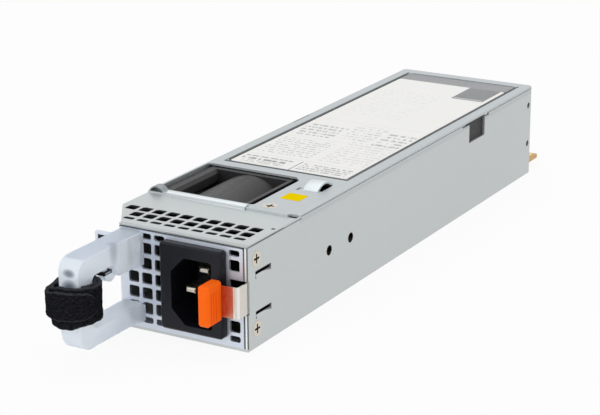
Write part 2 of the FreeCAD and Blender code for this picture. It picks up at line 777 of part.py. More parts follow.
# Top cover: flat sheet with the fan window, its bead, the sunk label field, the bridge and the hood.
def make_top_cover():
    body = doc.addObject("PartDesign::Body", "cover_sheet")
    front_edge = back("nose_depth - cover_lap")
    plan = new_sketch(body, "cover_plan", "XY_Plane", COVER_UNDER)
    outline(plan, [
        (LEFT, front_edge),
        (f"{RIGHT} - 3.9", front_edge),
        (f"{RIGHT} - 3.1", f"{front_edge} + cover_notch"),
        (RIGHT, f"{front_edge} + cover_notch"),
        (RIGHT, REAR, "rear_corner_radius"),
        (LEFT, REAR, "rear_corner_radius"),
    ])
    grow(body, plan, "cover_wall")
    on_top, at_left, at_right = lies_at("Z", "case_height"), lies_at("X", LEFT), lies_at("X", RIGHT)
    dress(body, "Fillet", "cover_edge", "cover_rounding",
          lambda edge: on_top(edge) and (at_left(edge) or at_right(edge)))
    window = new_sketch(body, "fan_window", "XY_Plane", f"{COVER_UNDER} - 1")
    outline(window, [
        (WINDOW_LEFT, back("window_front"), "window_radius"),
        (WINDOW_RIGHT, back("window_front"), "window_radius"),
        (WINDOW_RIGHT, back("window_rear - window_cut")),
        (f"{WINDOW_RIGHT} - window_cut", back("window_rear")),
        (WINDOW_LEFT, back("window_rear"), "window_radius"),
    ])
    carve(body, window, "cover_wall + 2")
    field = new_sketch(body, "label_field", "XY_Plane", "case_height - label_depth")
    rectangle(field, f"{LEFT} + label_margin", back("label_front"), "case_width - 2 * label_margin",
              "label_rear - label_front", "rear_corner_radius")
    carve(body, field, "cover_wall")
    bead = new_sketch(body, "window_bead", "YZ_Plane", "bead_left")
    arch(bead, back("window_front - bead_width"), COVER_UNDER, "bead_width", "cover_wall + bead_rise")
    grow(body, bead, f"{WINDOW_RIGHT} - 1 - bead_left")
    bridge = new_sketch(body, "bridge_arch", "YZ_Plane", BRIDGE_LEFT)
    arch(bridge, back("bridge_front"), "case_height - 0.2", "bridge_chord", "bridge_rise + 0.2")
    grow(body, bridge, "bridge_width")
    hood = new_sketch(body, "hood_arch", "XZ_Plane", f"{front_edge} + 0.3")
    arch(hood, f"{LEFT} + 0.25", "case_height - 0.3", "hood_width", "hood_rise + 0.3")
    grow(body, hood, "hood_length")
    under = new_sketch(body, "bridge_under", "YZ_Plane", f"{BRIDGE_LEFT} - 1")
    arch(under, back("bridge_front + 1"), f"{COVER_UNDER} - 0.01", "bridge_chord - 2", "bridge_rise + 0.2")
    carve(body, under, "bridge_width + 2")
    mouth = new_sketch(body, "hood_mouth", "XZ_Plane", f"{front_edge} - 1")
    arch(mouth, f"{LEFT} + 0.25 + hood_wall", "case_height - 0.2", "hood_width - 2 * hood_wall",
         "hood_rise - hood_wall + 0.2")
    carve(body, mouth, "hood_length + 0.8")
    for word, start, end in (("front", "side_slot_front + 1", "side_window_front - 1"),
                             ("rear", "side_window_rear + 1", "side_slot_rear - 1")):
        hook = new_sketch(body, f"cover_hook_{word}", "YZ_Plane", f"{INNER_RIGHT} - sheet_gap - cover_wall")
        rectangle(hook, back(start), f"{COVER_UNDER} - hook_depth", f"({end}) - ({start})", "hook_depth + 0.1")
        grow(body, hook, "cover_wall")
    seat = screw_seat("cover_seat", (COVER_SCREW_X, back("cover_screw_depth"), "case_height"), "Z")
    keep("top_cover", cut("top_cover_cut", body, seat))


# Front plate: the grille, the inlet's opening, the latch notch, folded ears and the key tab.
def make_front_plate():
    body = doc.addObject("PartDesign::Body", "plate_sheet")
    low, high = "(tray_wall)", PLATE_TOP
    notch_low, notch_high = "(latch_mid - latch_notch / 2)", "(latch_mid + latch_notch / 2)"
    notch_left = f"{PLATE_RIGHT} - latch_travel_room - latch_strip_thickness - 2"
    face = new_sketch(body, "plate_face", "XZ_Plane", FRONT)
    outline(face, [
        (PLATE_LEFT, low),
        (PLATE_RIGHT, low),
        (PLATE_RIGHT, notch_low),
        (notch_left, notch_low, "vent_corner"),
        (notch_left, notch_high, "vent_corner"),
        (PLATE_RIGHT, notch_high),
        (PLATE_RIGHT, high, "vent_corner * 2"),
        (PLATE_LEFT, high),
        (PLATE_LEFT, "key_tab_high"),
        (f"{LEFT} + 0.2", "key_tab_high", "vent_corner"),
        (f"{LEFT} + 0.2", "key_tab_low", "vent_corner"),
        (PLATE_LEFT, "key_tab_low"),
    ])
    grow(body, face, "plate_wall")
    opening = new_sketch(body, "inlet_opening", "XZ_Plane", f"{FRONT} - 1")
    rectangle(opening, OPENING_LEFT,
              "cavity_z - cavity_tall / 2 - inlet_wall - sheet_gap",
              "cavity_width + 2 * inlet_wall + 2 * sheet_gap",
              "cavity_tall + 2 * inlet_wall + 2 * sheet_gap", "vent_corner")
    carve(body, opening, "plate_wall + 2")
    half, half_width = "vent_hole / 2", f"{VENT_WIDTH} / 2"
    first, outer = f"{VENT_COLUMN} - {half_width}", f"{VENT_COLUMN} - {VENT_PITCH_X} - {half_width}"
    inner = f"{VENT_COLUMN} + {VENT_PITCH_X} - {half_width}"
    right = f"{VENT_RIGHT} - {half}"
    bottom_row, top_half = f"vent_row - 4 * vent_pitch - {half}", f"vent_row + vent_pitch - {half}"
    bottom_half = f"vent_row - 5 * vent_pitch + {half} - vent_half"
    grids = (
        ("rows", outer, bottom_row, VENT_WIDTH, "vent_hole", 3, 5),
        ("upper", first, top_half, VENT_WIDTH, "vent_half", 2, 1),
        ("lower", first, bottom_half, VENT_WIDTH, "vent_half", 2, 1),
        ("right_high", right, f"vent_row - {half}", "vent_hole", "vent_hole", 1, 1),
        ("right_top", right, top_half, "vent_hole", "vent_half", 1, 1),
        ("right_low", right, bottom_row, "vent_hole", "vent_hole", 1, 1),
        ("right_base", right, bottom_half, "vent_hole", "vent_half", 1, 1),
    )
    for word, across, up, wide, tall, columns, rows in grids:
        vent = new_sketch(body, f"vent_{word}", "XZ_Plane", f"{FRONT} - 1")
        clipped(vent, across, up, wide, tall, "vent_clip")
        hole = carve(body, vent, "plate_wall + 2")
        if columns > 1:
            repeat(body, hole, vent, ("H_Axis", VENT_PITCH_X, columns), ("V_Axis", "vent_pitch", rows))
    key_hole = new_sketch(body, "key_hole", "XZ_Plane", f"{FRONT} - 1")
    rectangle(key_hole, f"{LEFT} + 0.2 + key_tab_margin", "key_tab_low + key_tab_margin",
              "corner_cut_width - 0.2 - 3 * key_tab_margin", "key_tab_high - key_tab_low - 2 * key_tab_margin")
    carve(body, key_hole, "plate_wall + 2")
    ear_length = "side_screw_depth + screw_head_radius + 1"
    for word, ear_low, ear_high in (("low", f"{low} + 0.4", f"{LANCES['low']} - 0.6"),
                                    ("high", f"{LANCES['high']} + lance_tall + 0.7", f"{high} - 0.4")):
        ear = new_sketch(body, f"ear_{word}", "YZ_Plane", f"{INNER_RIGHT} - sheet_gap - plate_wall")
        rectangle(ear, back("plate_wall - 0.1"), ear_low, ear_length, f"({ear_high}) - ({ear_low})")
        grow(body, ear, "plate_wall")
    lip = new_sketch(body, "bottom_lip", "XY_Plane", low)
    rectangle(lip, f"{PLATE_LEFT} + 4", back("plate_wall - 0.1"), "case_width - corner_cut_width - 10", "6")
    grow(body, lip, "plate_wall")
    for word, level in (("high", "handle_top - foot_tall / 2"), ("low", "handle_bottom + lower_arm_tall / 2")):
        slot = new_sketch(body, f"handle_slot_{word}", "XZ_Plane", f"{FRONT} - 1")
        rectangle(slot, f"{HANDLE_LEFT} + handle_width / 2 - handle_hook / 2 - sheet_gap",
                  f"{level} - handle_hook_tall / 2 - sheet_gap",
                  "handle_hook + 2 * sheet_gap", "handle_hook_tall + 2 * sheet_gap")
        grow(body, slot, "plate_wall + 2", "PartDesign::Pocket")
    seats = []
    for number_of, centre in enumerate(SIDE_SCREWS):
        seats += screw_seat(f"ear_seat_{number_of}", centre, "X", "0.02")
    keep("front_plate", cut("front_plate_cut", body, seats))


def make_key_pad():
    """The dark block that closes the key tab's opening."""
    keep("key_pad", box("key_pad", (f"{LEFT} + 0.2 + key_tab_margin + sheet_gap", back("0.1"),
                                    "key_tab_low + key_tab_margin + sheet_gap"),
                        ("corner_cut_width - 0.2 - 3 * key_tab_margin - 2 * sheet_gap", "plate_wall + 1.2",
                         "key_tab_high - key_tab_low - 2 * key_tab_margin - 2 * sheet_gap")))


# Handle: a clear moulded bow with a flared foot, hooked through the plate.
def make_handle():
    body = new_body("handle")
    side = new_sketch(body, "handle_side", "YZ_Plane", HANDLE_LEFT)
    face = back("0")
    front = back("-handle_reach")
    inner = back("grip_bar_depth - handle_reach")
    upper_low = "handle_top - upper_arm_tall"
    outline(side, [
        (face, "handle_bottom"),
        (front, "handle_bottom", "handle_outer_radius + 2"),
        (front, "handle_top", "handle_outer_radius"),
        (face, "handle_top"),
        (face, "handle_top - foot_tall"),
        (back("-foot_length"), "handle_top - foot_tall", "handle_inner_radius"),
        (back("-foot_length - foot_slope"), upper_low, "handle_inner_radius"),
        (inner, upper_low, "handle_inner_radius"),
        (inner, "handle_bottom + lower_arm_tall", "handle_inner_radius"),
        (face, "handle_bottom + lower_arm_tall"),
    ])
    grow(body, side, "handle_width")
    at_left, at_right = lies_at("X", HANDLE_LEFT), lies_at("X", HANDLE_RIGHT)
    at_face = lies_at("Y", face)
    dress(body, "Chamfer", "handle_rounding", "handle_edge",
          lambda edge: (at_left(edge) or at_right(edge)) and not at_face(edge))
    for word, low, tall in (("high", "handle_top - foot_tall", "foot_tall"),
                            ("low", "handle_bottom", "lower_arm_tall")):
        flare = new_sketch(body, f"foot_{word}", "XY_Plane", f"{low} + handle_edge")
        outline(flare, [
            (f"{HANDLE_RIGHT} - 2", face),
            (f"{HANDLE_RIGHT} - 2", back("-foot_length")),
            (HANDLE_RIGHT, back("-foot_length + 3")),
            (f"{HANDLE_RIGHT} + foot_flare", back("-foot_flare * 2")),
            (f"{HANDLE_RIGHT} + foot_flare", face),
        ])
        grow(body, flare, f"{tall} - 2 * handle_edge")
        hook = new_sketch(body, f"hook_{word}", "XZ_Plane", f"{FRONT} - 0.1")
        rectangle(hook, f"{HANDLE_LEFT} + handle_width / 2 - handle_hook / 2",
                  f"{low} + ({tall}) / 2 - handle_hook_tall / 2", "handle_hook", "handle_hook_tall")
        grow(body, hook, "plate_wall + sheet_gap + 2.2")
    lug = new_sketch(body, "clip_lug", "YZ_Plane", f"{CLIP_LEFT} + clip_bar + seat_gap")
    circle(lug, back("-lug_depth"), f"{upper_low} - lug_radius * 0.6", "lug_radius")
    grow(body, lug, "clip_width - 2 * clip_bar - 2 * seat_gap")
    eye = new_sketch(body, "lug_eye", "YZ_Plane", f"{CLIP_LEFT} - 1")
    rectangle(eye, back("clip_length - clip_reach - clip_bar - seat_gap"), f"{CLIP_LOW} - seat_gap",
              "clip_bar + 2 * seat_gap", "clip_tall + 2 * seat_gap")
    carve(body, eye, "clip_width + 2")


def make_strap():
    """The hook-and-loop strap wound round the handle's grip, as one soft ring."""
    body = new_body("cable_strap")
    middle_x = f"({HANDLE_LEFT} + handle_width / 2)"
    middle_y = f"({back('grip_bar_depth / 2 - handle_reach')})"
    half_x = "(handle_width / 2 + strap_gap + strap_thickness)"
    half_y = "(grip_bar_depth / 2 + strap_gap + strap_thickness)"
    ring = new_sketch(body, "strap_outer", "XY_Plane", "strap_bottom")
    rectangle(ring, f"{middle_x} - {half_x}", f"{middle_y} - {half_y}", f"2 * {half_x}", f"2 * {half_y}",
              "strap_thickness + strap_gap + 2")
    grow(body, ring, "strap_tall")
    hole = new_sketch(body, "strap_inner", "XY_Plane", "strap_bottom - 1")
    rectangle(hole, f"{middle_x} - {half_x} + strap_thickness", f"{middle_y} - {half_y} + strap_thickness",
              f"2 * ({half_x} - strap_thickness)", f"2 * ({half_y} - strap_thickness)", "strap_gap + 1")
    carve(body, hole, "strap_tall + 2")


def make_clip():
    """The small flat ring that hangs in the handle's lug and takes the strap's end."""
    loop = box("clip_block", (CLIP_LEFT, back("-clip_reach"), CLIP_LOW),
               ("clip_width", "clip_length", "clip_tall"))
    eye = box("clip_eye", (f"{CLIP_LEFT} + clip_bar", back("-clip_reach + clip_bar"), f"{CLIP_LOW} - 1"),
              ("clip_width - 2 * clip_bar", "clip_length - 2 * clip_bar", "clip_tall + 2"))
    keep("strap_clip", cut("clip_cut", loop, [eye]))


# Inlet: moulded housing with the bezel, the cavity with two cut corners, and three blades.
def make_inlet():
    body = doc.addObject("PartDesign::Body", "inlet_block")
    bezel = new_sketch(body, "inlet_bezel", "XZ_Plane", back("-bezel_depth"))
    rectangle(bezel, f"{BEZEL_X} - bezel_width / 2", "bezel_z - bezel_tall / 2", "bezel_width", "bezel_tall",
              "bezel_radius")
    grow(body, bezel, "bezel_depth")
    dress(body, "Chamfer", "bezel_bevel", "bezel_radius / 2", lies_at("Y", back("-bezel_depth")))
    shell = new_sketch(body, "inlet_shell", "XZ_Plane", back("-0.5"))
    rectangle(shell, f"{CAVITY_X} - cavity_width / 2 - inlet_wall", "cavity_z - cavity_tall / 2 - inlet_wall",
              "cavity_width + 2 * inlet_wall", "cavity_tall + 2 * inlet_wall", "vent_corner")
    grow(body, shell, "cavity_depth - bezel_depth + inlet_floor + 0.5")
    cavity = new_sketch(body, "inlet_cavity", "XZ_Plane", back("-bezel_depth - 1"))
    left, right = f"{CAVITY_X} - cavity_width / 2", f"{CAVITY_X} + cavity_width / 2"
    low, high = "cavity_z - cavity_tall / 2", "cavity_z + cavity_tall / 2"
    outline(cavity, [
        (f"{left} + cavity_cut", low, "vent_corner"),
        (right, low, "bezel_radius"),
        (right, high, "bezel_radius"),
        (f"{left} + cavity_cut", high, "vent_corner"),
        (left, f"{high} - cavity_cut", "vent_corner"),
        (left, f"{low} + cavity_cut", "vent_corner"),
    ])
    carve(body, cavity, "cavity_depth + 1")
    holes = [blade(f"blade_hole_{word}", across, up, "inlet_floor + 2", "sheet_gap / 5", "cavity_depth - 1")
             for word, across, up, longer in BLADES]
    keep("inlet_housing", cut("inlet_cut", body, holes))


BLADES = (
    ("line", f"{CAVITY_X} + pin_offset", "cavity_z + pin_pitch", "0"),
    ("neutral", f"{CAVITY_X} + pin_offset", "cavity_z - pin_pitch", "0"),
    ("earth", f"{CAVITY_X} - pin_offset", "cavity_z", "earth_pin_longer"),
)


def blade(name, across, up, length, gap, depth):
    """One flat blade, from a depth behind the bezel's face to the rear."""
    return box(name, (f"{across} - pin_wide / 2 - {gap}", back(f"({depth}) - bezel_depth"),
                      f"{up} - pin_thick / 2 - {gap}"),
               (f"pin_wide + 2 * {gap}", length, f"pin_thick + 2 * {gap}"))


def make_blades():
    rods = []
    for word, across, up, longer in BLADES:
        start = f"cavity_depth - pin_length - {longer}"
        length = f"pin_length + {longer} + inlet_floor + pin_tail"
        rod_solid = blade(f"blade_{word}", across, up, length, "0", start)
        doc.recompute()
        ends = front_edges(rod_solid)
        rods.append(soften(f"blade_end_{word}", rod_solid, "pin_bevel", ends, "Part::Chamfer"))
    keep("inlet_blades", group("inlet_blade_set", rods))


INLET_BOARD_FRONT = back("cavity_depth + inlet_floor + pin_tail - bezel_depth - small_board_thickness")


def make_inlet_board():
    """The small upright board that the blades are soldered into."""
    board = box("inlet_board_blank", (f"{CAVITY_X} - inlet_board_wide / 2", INLET_BOARD_FRONT, BOARD_TOP),
                ("inlet_board_wide", "small_board_thickness", "inlet_board_tall"))
    holes = [box(f"board_hole_{word}", (f"{across} - pin_wide / 2 - 0.02", f"{INLET_BOARD_FRONT} - 1",
                                        f"{up} - pin_thick / 2 - 0.02"),
                 ("pin_wide + 0.04", "small_board_thickness + 2", "pin_thick + 0.04"))
             for word, across, up, longer in BLADES]
    keep("inlet_board", cut("inlet_board_cut", board, holes))


# Latch: a spring leaf inside the right wall with a moulded grip in front of the plate.
LEAF_OUTER = f"({INNER_RIGHT} - seat_gap)"
LEAF_FACE_OUT = f"({RIGHT} - seat_gap)"


def make_latch():
    body = new_body("latch_spring")
    thick = "latch_strip_thickness"
    inner = f"({LEAF_OUTER} - {thick})"
    reach_out = back("-latch_reach")
    cross_end = f"({RIGHT} - latch_cross)"
    leaf = new_sketch(body, "leaf_plan", "XY_Plane", "latch_mid - latch_strip_width / 2")
    jog_end = back("latch_notch_depth - seat_gap - latch_jog")
    jog_start = back("latch_notch_depth + seat_gap")
    outline(leaf, [
        (inner, back("latch_pivot_depth")),
        (inner, jog_start, "latch_strip_thickness / 2"),
        (f"{LEAF_FACE_OUT} - {thick}", jog_end, "latch_strip_thickness / 2"),
        (f"{LEAF_FACE_OUT} - {thick}", f"{reach_out} + {thick}", "latch_bend_radius - latch_strip_thickness"),
        (cross_end, f"{reach_out} + {thick}"),
        (cross_end, reach_out),
        (LEAF_FACE_OUT, reach_out, "latch_bend_radius"),
        (LEAF_FACE_OUT, f"{jog_end} + {thick} / 3", "latch_strip_thickness / 2"),
        (LEAF_OUTER, f"{jog_start} + {thick} / 3", "latch_strip_thickness / 2"),
        (LEAF_OUTER, back("latch_pivot_depth")),
    ])
    grow(body, leaf, "latch_strip_width")

    block = box("grip_block", (f"{RIGHT} - grip_margin", f"{reach_out} + {thick} + 0.1 - grip_depth",
                               "latch_mid - grip_tall / 2"), ("grip_width", "grip_depth", "grip_tall"))
    doc.recompute()
    rounded = soften("grip_rounding", block, "grip_radius", range(1, 13), "Part::Chamfer")
    slot = box("grip_slot", (f"{cross_end} - sheet_gap / 2", f"{reach_out} - sheet_gap / 2",
                             "latch_mid - latch_strip_width / 2 - sheet_gap / 2"),
               ("grip_width", f"{thick} + sheet_gap", "latch_strip_width + sheet_gap"))
    ribs = [box(f"grip_groove_{step}", (f"{RIGHT} - grip_margin + grip_width - 0.3",
                                        f"{reach_out} - grip_depth + 2.2 + {step} * 1.5",
                                        "latch_mid - grip_tall / 2 + 0.6"),
                ("1", "0.5", "grip_tall - 3.2")) for step in range(3)]
    keep("latch_grip", cut("grip_cut", rounded, [slot] + ribs))

    tail = box("tail_leaf", (inner, back("latch_pivot_depth + seat_gap"),
                             "latch_mid - latch_strip_width / 2"),
               (thick, "rivet_front_depth + rivet_spacing + 4 - latch_pivot_depth - seat_gap",
                "latch_strip_width"))
    shim = box("tail_pad", (LEAF_OUTER, back("rivet_front_depth - 3.4"),
                            "latch_mid - latch_strip_width / 2"),
               ("seat_gap", "rivet_spacing + 6.8", "latch_strip_width"))
    holes = [rod(f"tail_hole_{step}", (f"{inner} - 1", back(f"rivet_front_depth + {step} * rivet_spacing"),
                                       "latch_mid"),
                 "rivet_radius + bearing_fit", "2", "X") for step in range(2)]
    keep("latch_spring_tail", cut("tail_cut", join("tail_sheet", [tail, shim]), holes))

    rivets = []
    for step in range(2):
        where = (back(f"rivet_front_depth + {step} * rivet_spacing"), "latch_mid")
        barrel = rod(f"rivet_barrel_{step}", (inner,) + where, "rivet_radius",
                     f"{RIGHT} - {inner}", "X")
        flange = rod(f"rivet_flange_{step}", (f"{inner} - rivet_flange",) + where,
                     "rivet_radius + rivet_flange", "rivet_flange", "X")
        bore = rod(f"rivet_bore_{step}", (f"{inner} - rivet_flange - 1",) + where,
                   "rivet_bore", f"{RIGHT} - {inner} + rivet_flange + 2", "X")
        rivets.append(cut(f"rivet_{step}", join(f"rivet_solid_{step}", [barrel, flange]), [bore]))
    keep("latch_rivets", group("latch_rivet_set", rivets))


def make_screws():
    sides = [countersunk(f"side_screw_{step}", centre, "X") for step, centre in enumerate(SIDE_SCREWS)]
    keep("side_screws", group("side_screw_set", sides))
    keep("cover_screw", countersunk("cover_screw_solid",
                                    (COVER_SCREW_X, back("cover_screw_depth"), "case_height"), "Z"))
    post = rod("cover_post_rod", (COVER_SCREW_X, back("cover_screw_depth"), BOARD_TOP),
               "standoff_radius", f"{COVER_UNDER} - {BOARD_TOP}")
    hole = rod("cover_post_hole", (COVER_SCREW_X, back("cover_screw_depth"), f"{COVER_UNDER} - screw_length"),
               "screw_shank_radius + 0.02", "screw_length + 1")
    keep("cover_post", cut("cover_post_cut", post, [hole]))


# Fan: square frame with two flanges and a barrel, and the rotor on its shaft.
FAN_X = f"({FAN_LEFT} + fan_width / 2)"
FAN_LOW = "(tray_wall)"
FAN_TALL = f"({COVER_UNDER} - tray_wall - seat_gap)"
FAN_Z = f"({FAN_LOW} + {FAN_TALL} / 2)"
FAN_BORE = f"(min(fan_width; {FAN_TALL}) / 2 - fan_bore_margin)"
HUB_FRONT = "(fan_front + 5)"
BASE_DEPTH = "(fan_front + fan_length - strut_depth)"


def make_fan_frame():
    body = doc.addObject("PartDesign::Body", "fan_square")
    for word, depth in (("front", "fan_front"), ("rear", "fan_front + fan_length - fan_flange")):
        flange = new_sketch(body, f"flange_{word}", "XZ_Plane", back(depth))
        clipped(flange, FAN_LEFT, FAN_LOW, "fan_width", FAN_TALL, "fan_corner")
        grow(body, flange, "fan_flange")
        if word == "front":
            barrel = new_sketch(body, "fan_barrel", "XZ_Plane", back("fan_front + fan_flange"))
            circle(barrel, FAN_X, FAN_Z, f"{FAN_BORE} + fan_barrel_wall")
            grow(body, barrel, "fan_length - 2 * fan_flange")
    corners = [(side, level) for side in (1, -1) for level in (1, -1)]
    for step, (side, level) in enumerate(corners):
        post = new_sketch(body, f"fan_post_{step}", "XZ_Plane", back("fan_front + 0.5"))
        clipped(post, f"{FAN_X} + {side} * (fan_width - fan_post) / 2 - fan_post / 2",
                f"{FAN_Z} + {level} * ({FAN_TALL} - fan_post) / 2 - fan_post / 2", "fan_post", "fan_post",
                "fan_corner * 0.5")
        grow(body, post, "fan_length - 1")
    bore = new_sketch(body, "fan_bore", "XZ_Plane", back("fan_front - 1"))
    circle(bore, FAN_X, FAN_Z, FAN_BORE)
    carve(body, bore, "fan_length + 2")
    holes = [rod(f"fan_hole_{step}", (f"{FAN_X} + {side} * (fan_width - fan_post) / 2", back("fan_front - 1"),
                                      f"{FAN_Z} + {level} * ({FAN_TALL} - fan_post) / 2"),
                 "fan_hole_radius", "fan_flange + 1", "Y") for step, (side, level) in enumerate(corners)]
    keep("fan_frame", cut("fan_frame_cut", body, holes))

    struts = [
        box("strut_level", (f"{FAN_X} - {FAN_BORE}", back(BASE_DEPTH), f"{FAN_Z} - strut_width / 2"),
            (f"2 * {FAN_BORE}", "strut_depth", "strut_width")),
        box("strut_upright", (f"{FAN_X} - strut_width / 2", back(BASE_DEPTH), f"{FAN_Z} - {FAN_BORE}"),
            ("strut_width", "strut_depth", f"2 * {FAN_BORE}")),
        rod("motor_base", (FAN_X, back(BASE_DEPTH), FAN_Z), "hub_radius", "strut_depth", "Y"),
        rod("stator_tube", (FAN_X, back(f"{HUB_FRONT} + hub_wall + 1"), FAN_Z),
            "bearing_radius + stator_tube_wall", f"{BASE_DEPTH} - ({HUB_FRONT} + hub_wall + 1) + 0.1", "Y"),
    ]
    rim = rod("strut_rim", (FAN_X, back(f"{BASE_DEPTH} - 1"), FAN_Z), FAN_BORE, "strut_depth + 2", "Y")
    tube_bore = rod("stator_bore", (FAN_X, back(f"{HUB_FRONT} + hub_wall"), FAN_Z), "bearing_radius",
                    f"{BASE_DEPTH} - ({HUB_FRONT} + hub_wall)", "Y")
    arms = doc.addObject("Part::MultiCommon", "struts_in_bore")
    arms.Shapes = [join("strut_cross", struts[:3]), rim]
    keep("fan_motor_mount", cut("motor_mount_cut", join("motor_mount_whole", [arms, struts[3]]), [tube_bore]))


def make_fan_inside():
    depth_low = f"({HUB_FRONT} + hub_wall + 1)"
    rings = []
    for step, depth in enumerate((depth_low, f"({BASE_DEPTH} - bearing_length)")):
        ring = rod(f"bearing_ring_{step}", (FAN_X, back(depth), FAN_Z), "bearing_radius",
                   "bearing_length", "Y")
        hole = rod(f"bearing_hole_{step}", (FAN_X, back(f"{depth} - 1"), FAN_Z),
                   "fan_shaft_radius + bearing_fit", "bearing_length + 2", "Y")
        rings.append(cut(f"bearing_{step}", ring, [hole]))
    keep("fan_bearings", group("fan_bearing_set", rings))
    eye_radius = "bearing_radius + stator_tube_wall + 0.02"
    stator_low = f"({BASE_DEPTH} - stator_length - 4)"
    core = rod("stator_core", (FAN_X, back(stator_low), FAN_Z), "stator_radius", "stator_length", "Y")
    eye = rod("stator_eye", (FAN_X, back(f"{stator_low} - 1"), FAN_Z), eye_radius, "stator_length + 2", "Y")
    slots = [box(f"stator_slot_{step}", (f"{FAN_X} + {side} * 5 - 1", back(f"{stator_low} - 1"),
                                         f"{FAN_Z} + {level} * 5 - 1"), ("2", "stator_length + 2", "2"))
             for step, (side, level) in enumerate(((1, 1), (1, -1), (-1, 1), (-1, -1)))]
    keep("fan_stator", cut("stator_cut", core, [eye] + slots))


def vane_section(start, middle, depth, turn, thick):
    """The bent section of a fan blade, in a plane across the blade's own length."""
    spots = []
    for share, side in ((0, -1), (0.45, -1), (1, -1), (1, 1), (0.45, 1), (0, 1)):
        sweep = math.radians(turn) * (share - 0.5 * share ** 2 - 0.25) * middle
        spots.append(Vector(start, depth * share, sweep + side * thick / 2))
    return Part.Face(Part.makePolygon(spots + spots[:1]))


def make_rotor():
    """The rotor: a cup with seven bent blades."""
    cup = rod("rotor_cup", (FAN_X, back(HUB_FRONT), FAN_Z), "hub_radius", "hub_length", "Y")
    room = rod("rotor_room", (FAN_X, back(f"{HUB_FRONT} + hub_wall"), FAN_Z), "hub_radius - hub_wall",
               "hub_length", "Y")
    boss_hole = rod("rotor_eye", (FAN_X, back(f"{HUB_FRONT} - 1"), FAN_Z), "fan_shaft_radius",
                    "hub_length", "Y")
    hub = cut("rotor_hub", cup, [room, boss_hole])
    doc.recompute()
    centre = Vector(number(FAN_X), number(back(f"{HUB_FRONT} + 1.5")), number(FAN_Z))
    depth, tip = number("hub_length") - 3, number(f"{FAN_BORE} - blade_gap")
    root = number("hub_radius - 1")
    section = vane_section(root, (root + tip) / 2, depth, number("blade_twist"), number("blade_thickness"))
    reach = Part.makeCylinder(tip, depth + 2, Vector(0, -1, 0), Vector(0, 1, 0))
    first = section.extrude(Vector(tip - root + 1, 0, 0)).common(reach)
    vanes = []
    for step in range(7):
        vane = doc.addObject("Part::Feature", f"rotor_blade_{step}")
        vane.Shape = first
        vane.Placement = Placement(centre, Rotation(Vector(0, 1, 0), 360 / 7 * step))
        vanes.append(vane)
    keep("fan_rotor", join("fan_rotor_whole", [hub] + vanes))
    shaft = rod("fan_shaft_rod", (FAN_X, back(HUB_FRONT), FAN_Z), "fan_shaft_radius",
                f"{BASE_DEPTH} - {HUB_FRONT} - 0.5", "Y")
    keep("fan_shaft", shaft)
    magnet = rod("magnet_rod", (FAN_X, back(f"{HUB_FRONT} + hub_wall + 2"), FAN_Z), "hub_radius - hub_wall",
                 "hub_length - hub_wall - 2", "Y")
    eye = rod("magnet_eye", (FAN_X, back(f"{HUB_FRONT} + hub_wall + 1"), FAN_Z),
              "hub_radius - hub_wall - magnet_wall", "hub_length", "Y")
    keep("fan_magnet", cut("magnet_cut", magnet, [eye]))


# Boards and insulation.
def make_main_board():
    body = doc.addObject("PartDesign::Body", "board_sheet")
    plan = new_sketch(body, "board_plan", "XY_Plane", BOARD_LOW)
    left, right = f"{INNER_LEFT} + board_side_gap", f"{INNER_RIGHT} - board_side_gap"
    rear = f"{REAR} - tray_wall - board_rear_gap"
    outline(plan, [
        (left, back("board_front")),
        (ARM_LEFT, back("board_front")),
        (ARM_LEFT, back("arm_front")),
        (ARM_RIGHT, back("arm_front")),
        (ARM_RIGHT, back("board_front")),
        (right, back("board_front")),
        (right, rear),
        (TONGUE_RIGHT, rear),
        (TONGUE_RIGHT, f"{REAR} + tongue_reach", "vent_corner"),
        (TONGUE_LEFT, f"{REAR} + tongue_reach", "vent_corner"),
        (TONGUE_LEFT, rear),
        (left, rear),
    ])
    grow(body, plan, "board_thickness")
    holes = [rod(f"mount_hole_{step}", (across, along, f"{BOARD_LOW} - 1"), "screw_shank_radius + 0.1",
                 "board_thickness + 2") for step, (across, along) in enumerate(BOARD_FIXINGS)]
    keep("main_board", cut("main_board_cut", body, holes))


BOARD_FIXINGS = (
    (f"{INNER_LEFT} + board_side_gap + 4", back("board_front + 4")),
    (f"{INNER_RIGHT} - board_side_gap - 4", back("board_front + 5")),
    (f"{INNER_LEFT} + board_side_gap + 4", f"{REAR} - 8"),
    (f"({ARM_LEFT} + {ARM_RIGHT}) / 2", back("arm_front + 3")),
)


def make_board_fixings():
    posts, screws = [], []
    for step, (across, along) in enumerate(BOARD_FIXINGS):
        post = prism(f"standoff_bar_{step}", (across, along, "tray_wall"), "standoff_radius", "board_lift")
        hole = rod(f"standoff_hole_{step}", (across, along, "tray_wall - 1"), "screw_shank_radius + 0.02",
                   "board_lift + 2")
        posts.append(cut(f"standoff_{step}", post, [hole]))
        head = rod(f"board_screw_head_{step}", (across, along, BOARD_TOP), "board_screw_radius",
                   "board_screw_tall")
        shank = rod(f"board_screw_shank_{step}", (across, along, "tray_wall + 0.1"), "screw_shank_radius",
                    "board_lift + board_thickness")
        screws.append(join(f"board_screw_{step}", [head, shank]))
    keep("board_standoffs", group("standoff_set", posts))
    keep("board_screws", group("board_screw_set", screws))


def make_contacts():
    """Gold pads on both faces of the board's tongue, in one row each."""
    count = 16
    pitch = f"({TONGUE_RIGHT} - {TONGUE_LEFT} - 2) / {count}"
    pads = [box(f"pad_{word}_{step}", (f"{TONGUE_LEFT} + 1.5 + {step} * ({pitch})", f"{REAR} + 0.5", level),
                (f"({pitch}) * 0.66", "tongue_reach - 1.5", "contact_thickness"))
            for word, level in (("top", BOARD_TOP), ("under", f"{BOARD_LOW} - contact_thickness"))
            for step in range(count)]
    keep("edge_contacts", group("edge_contact_set", pads))


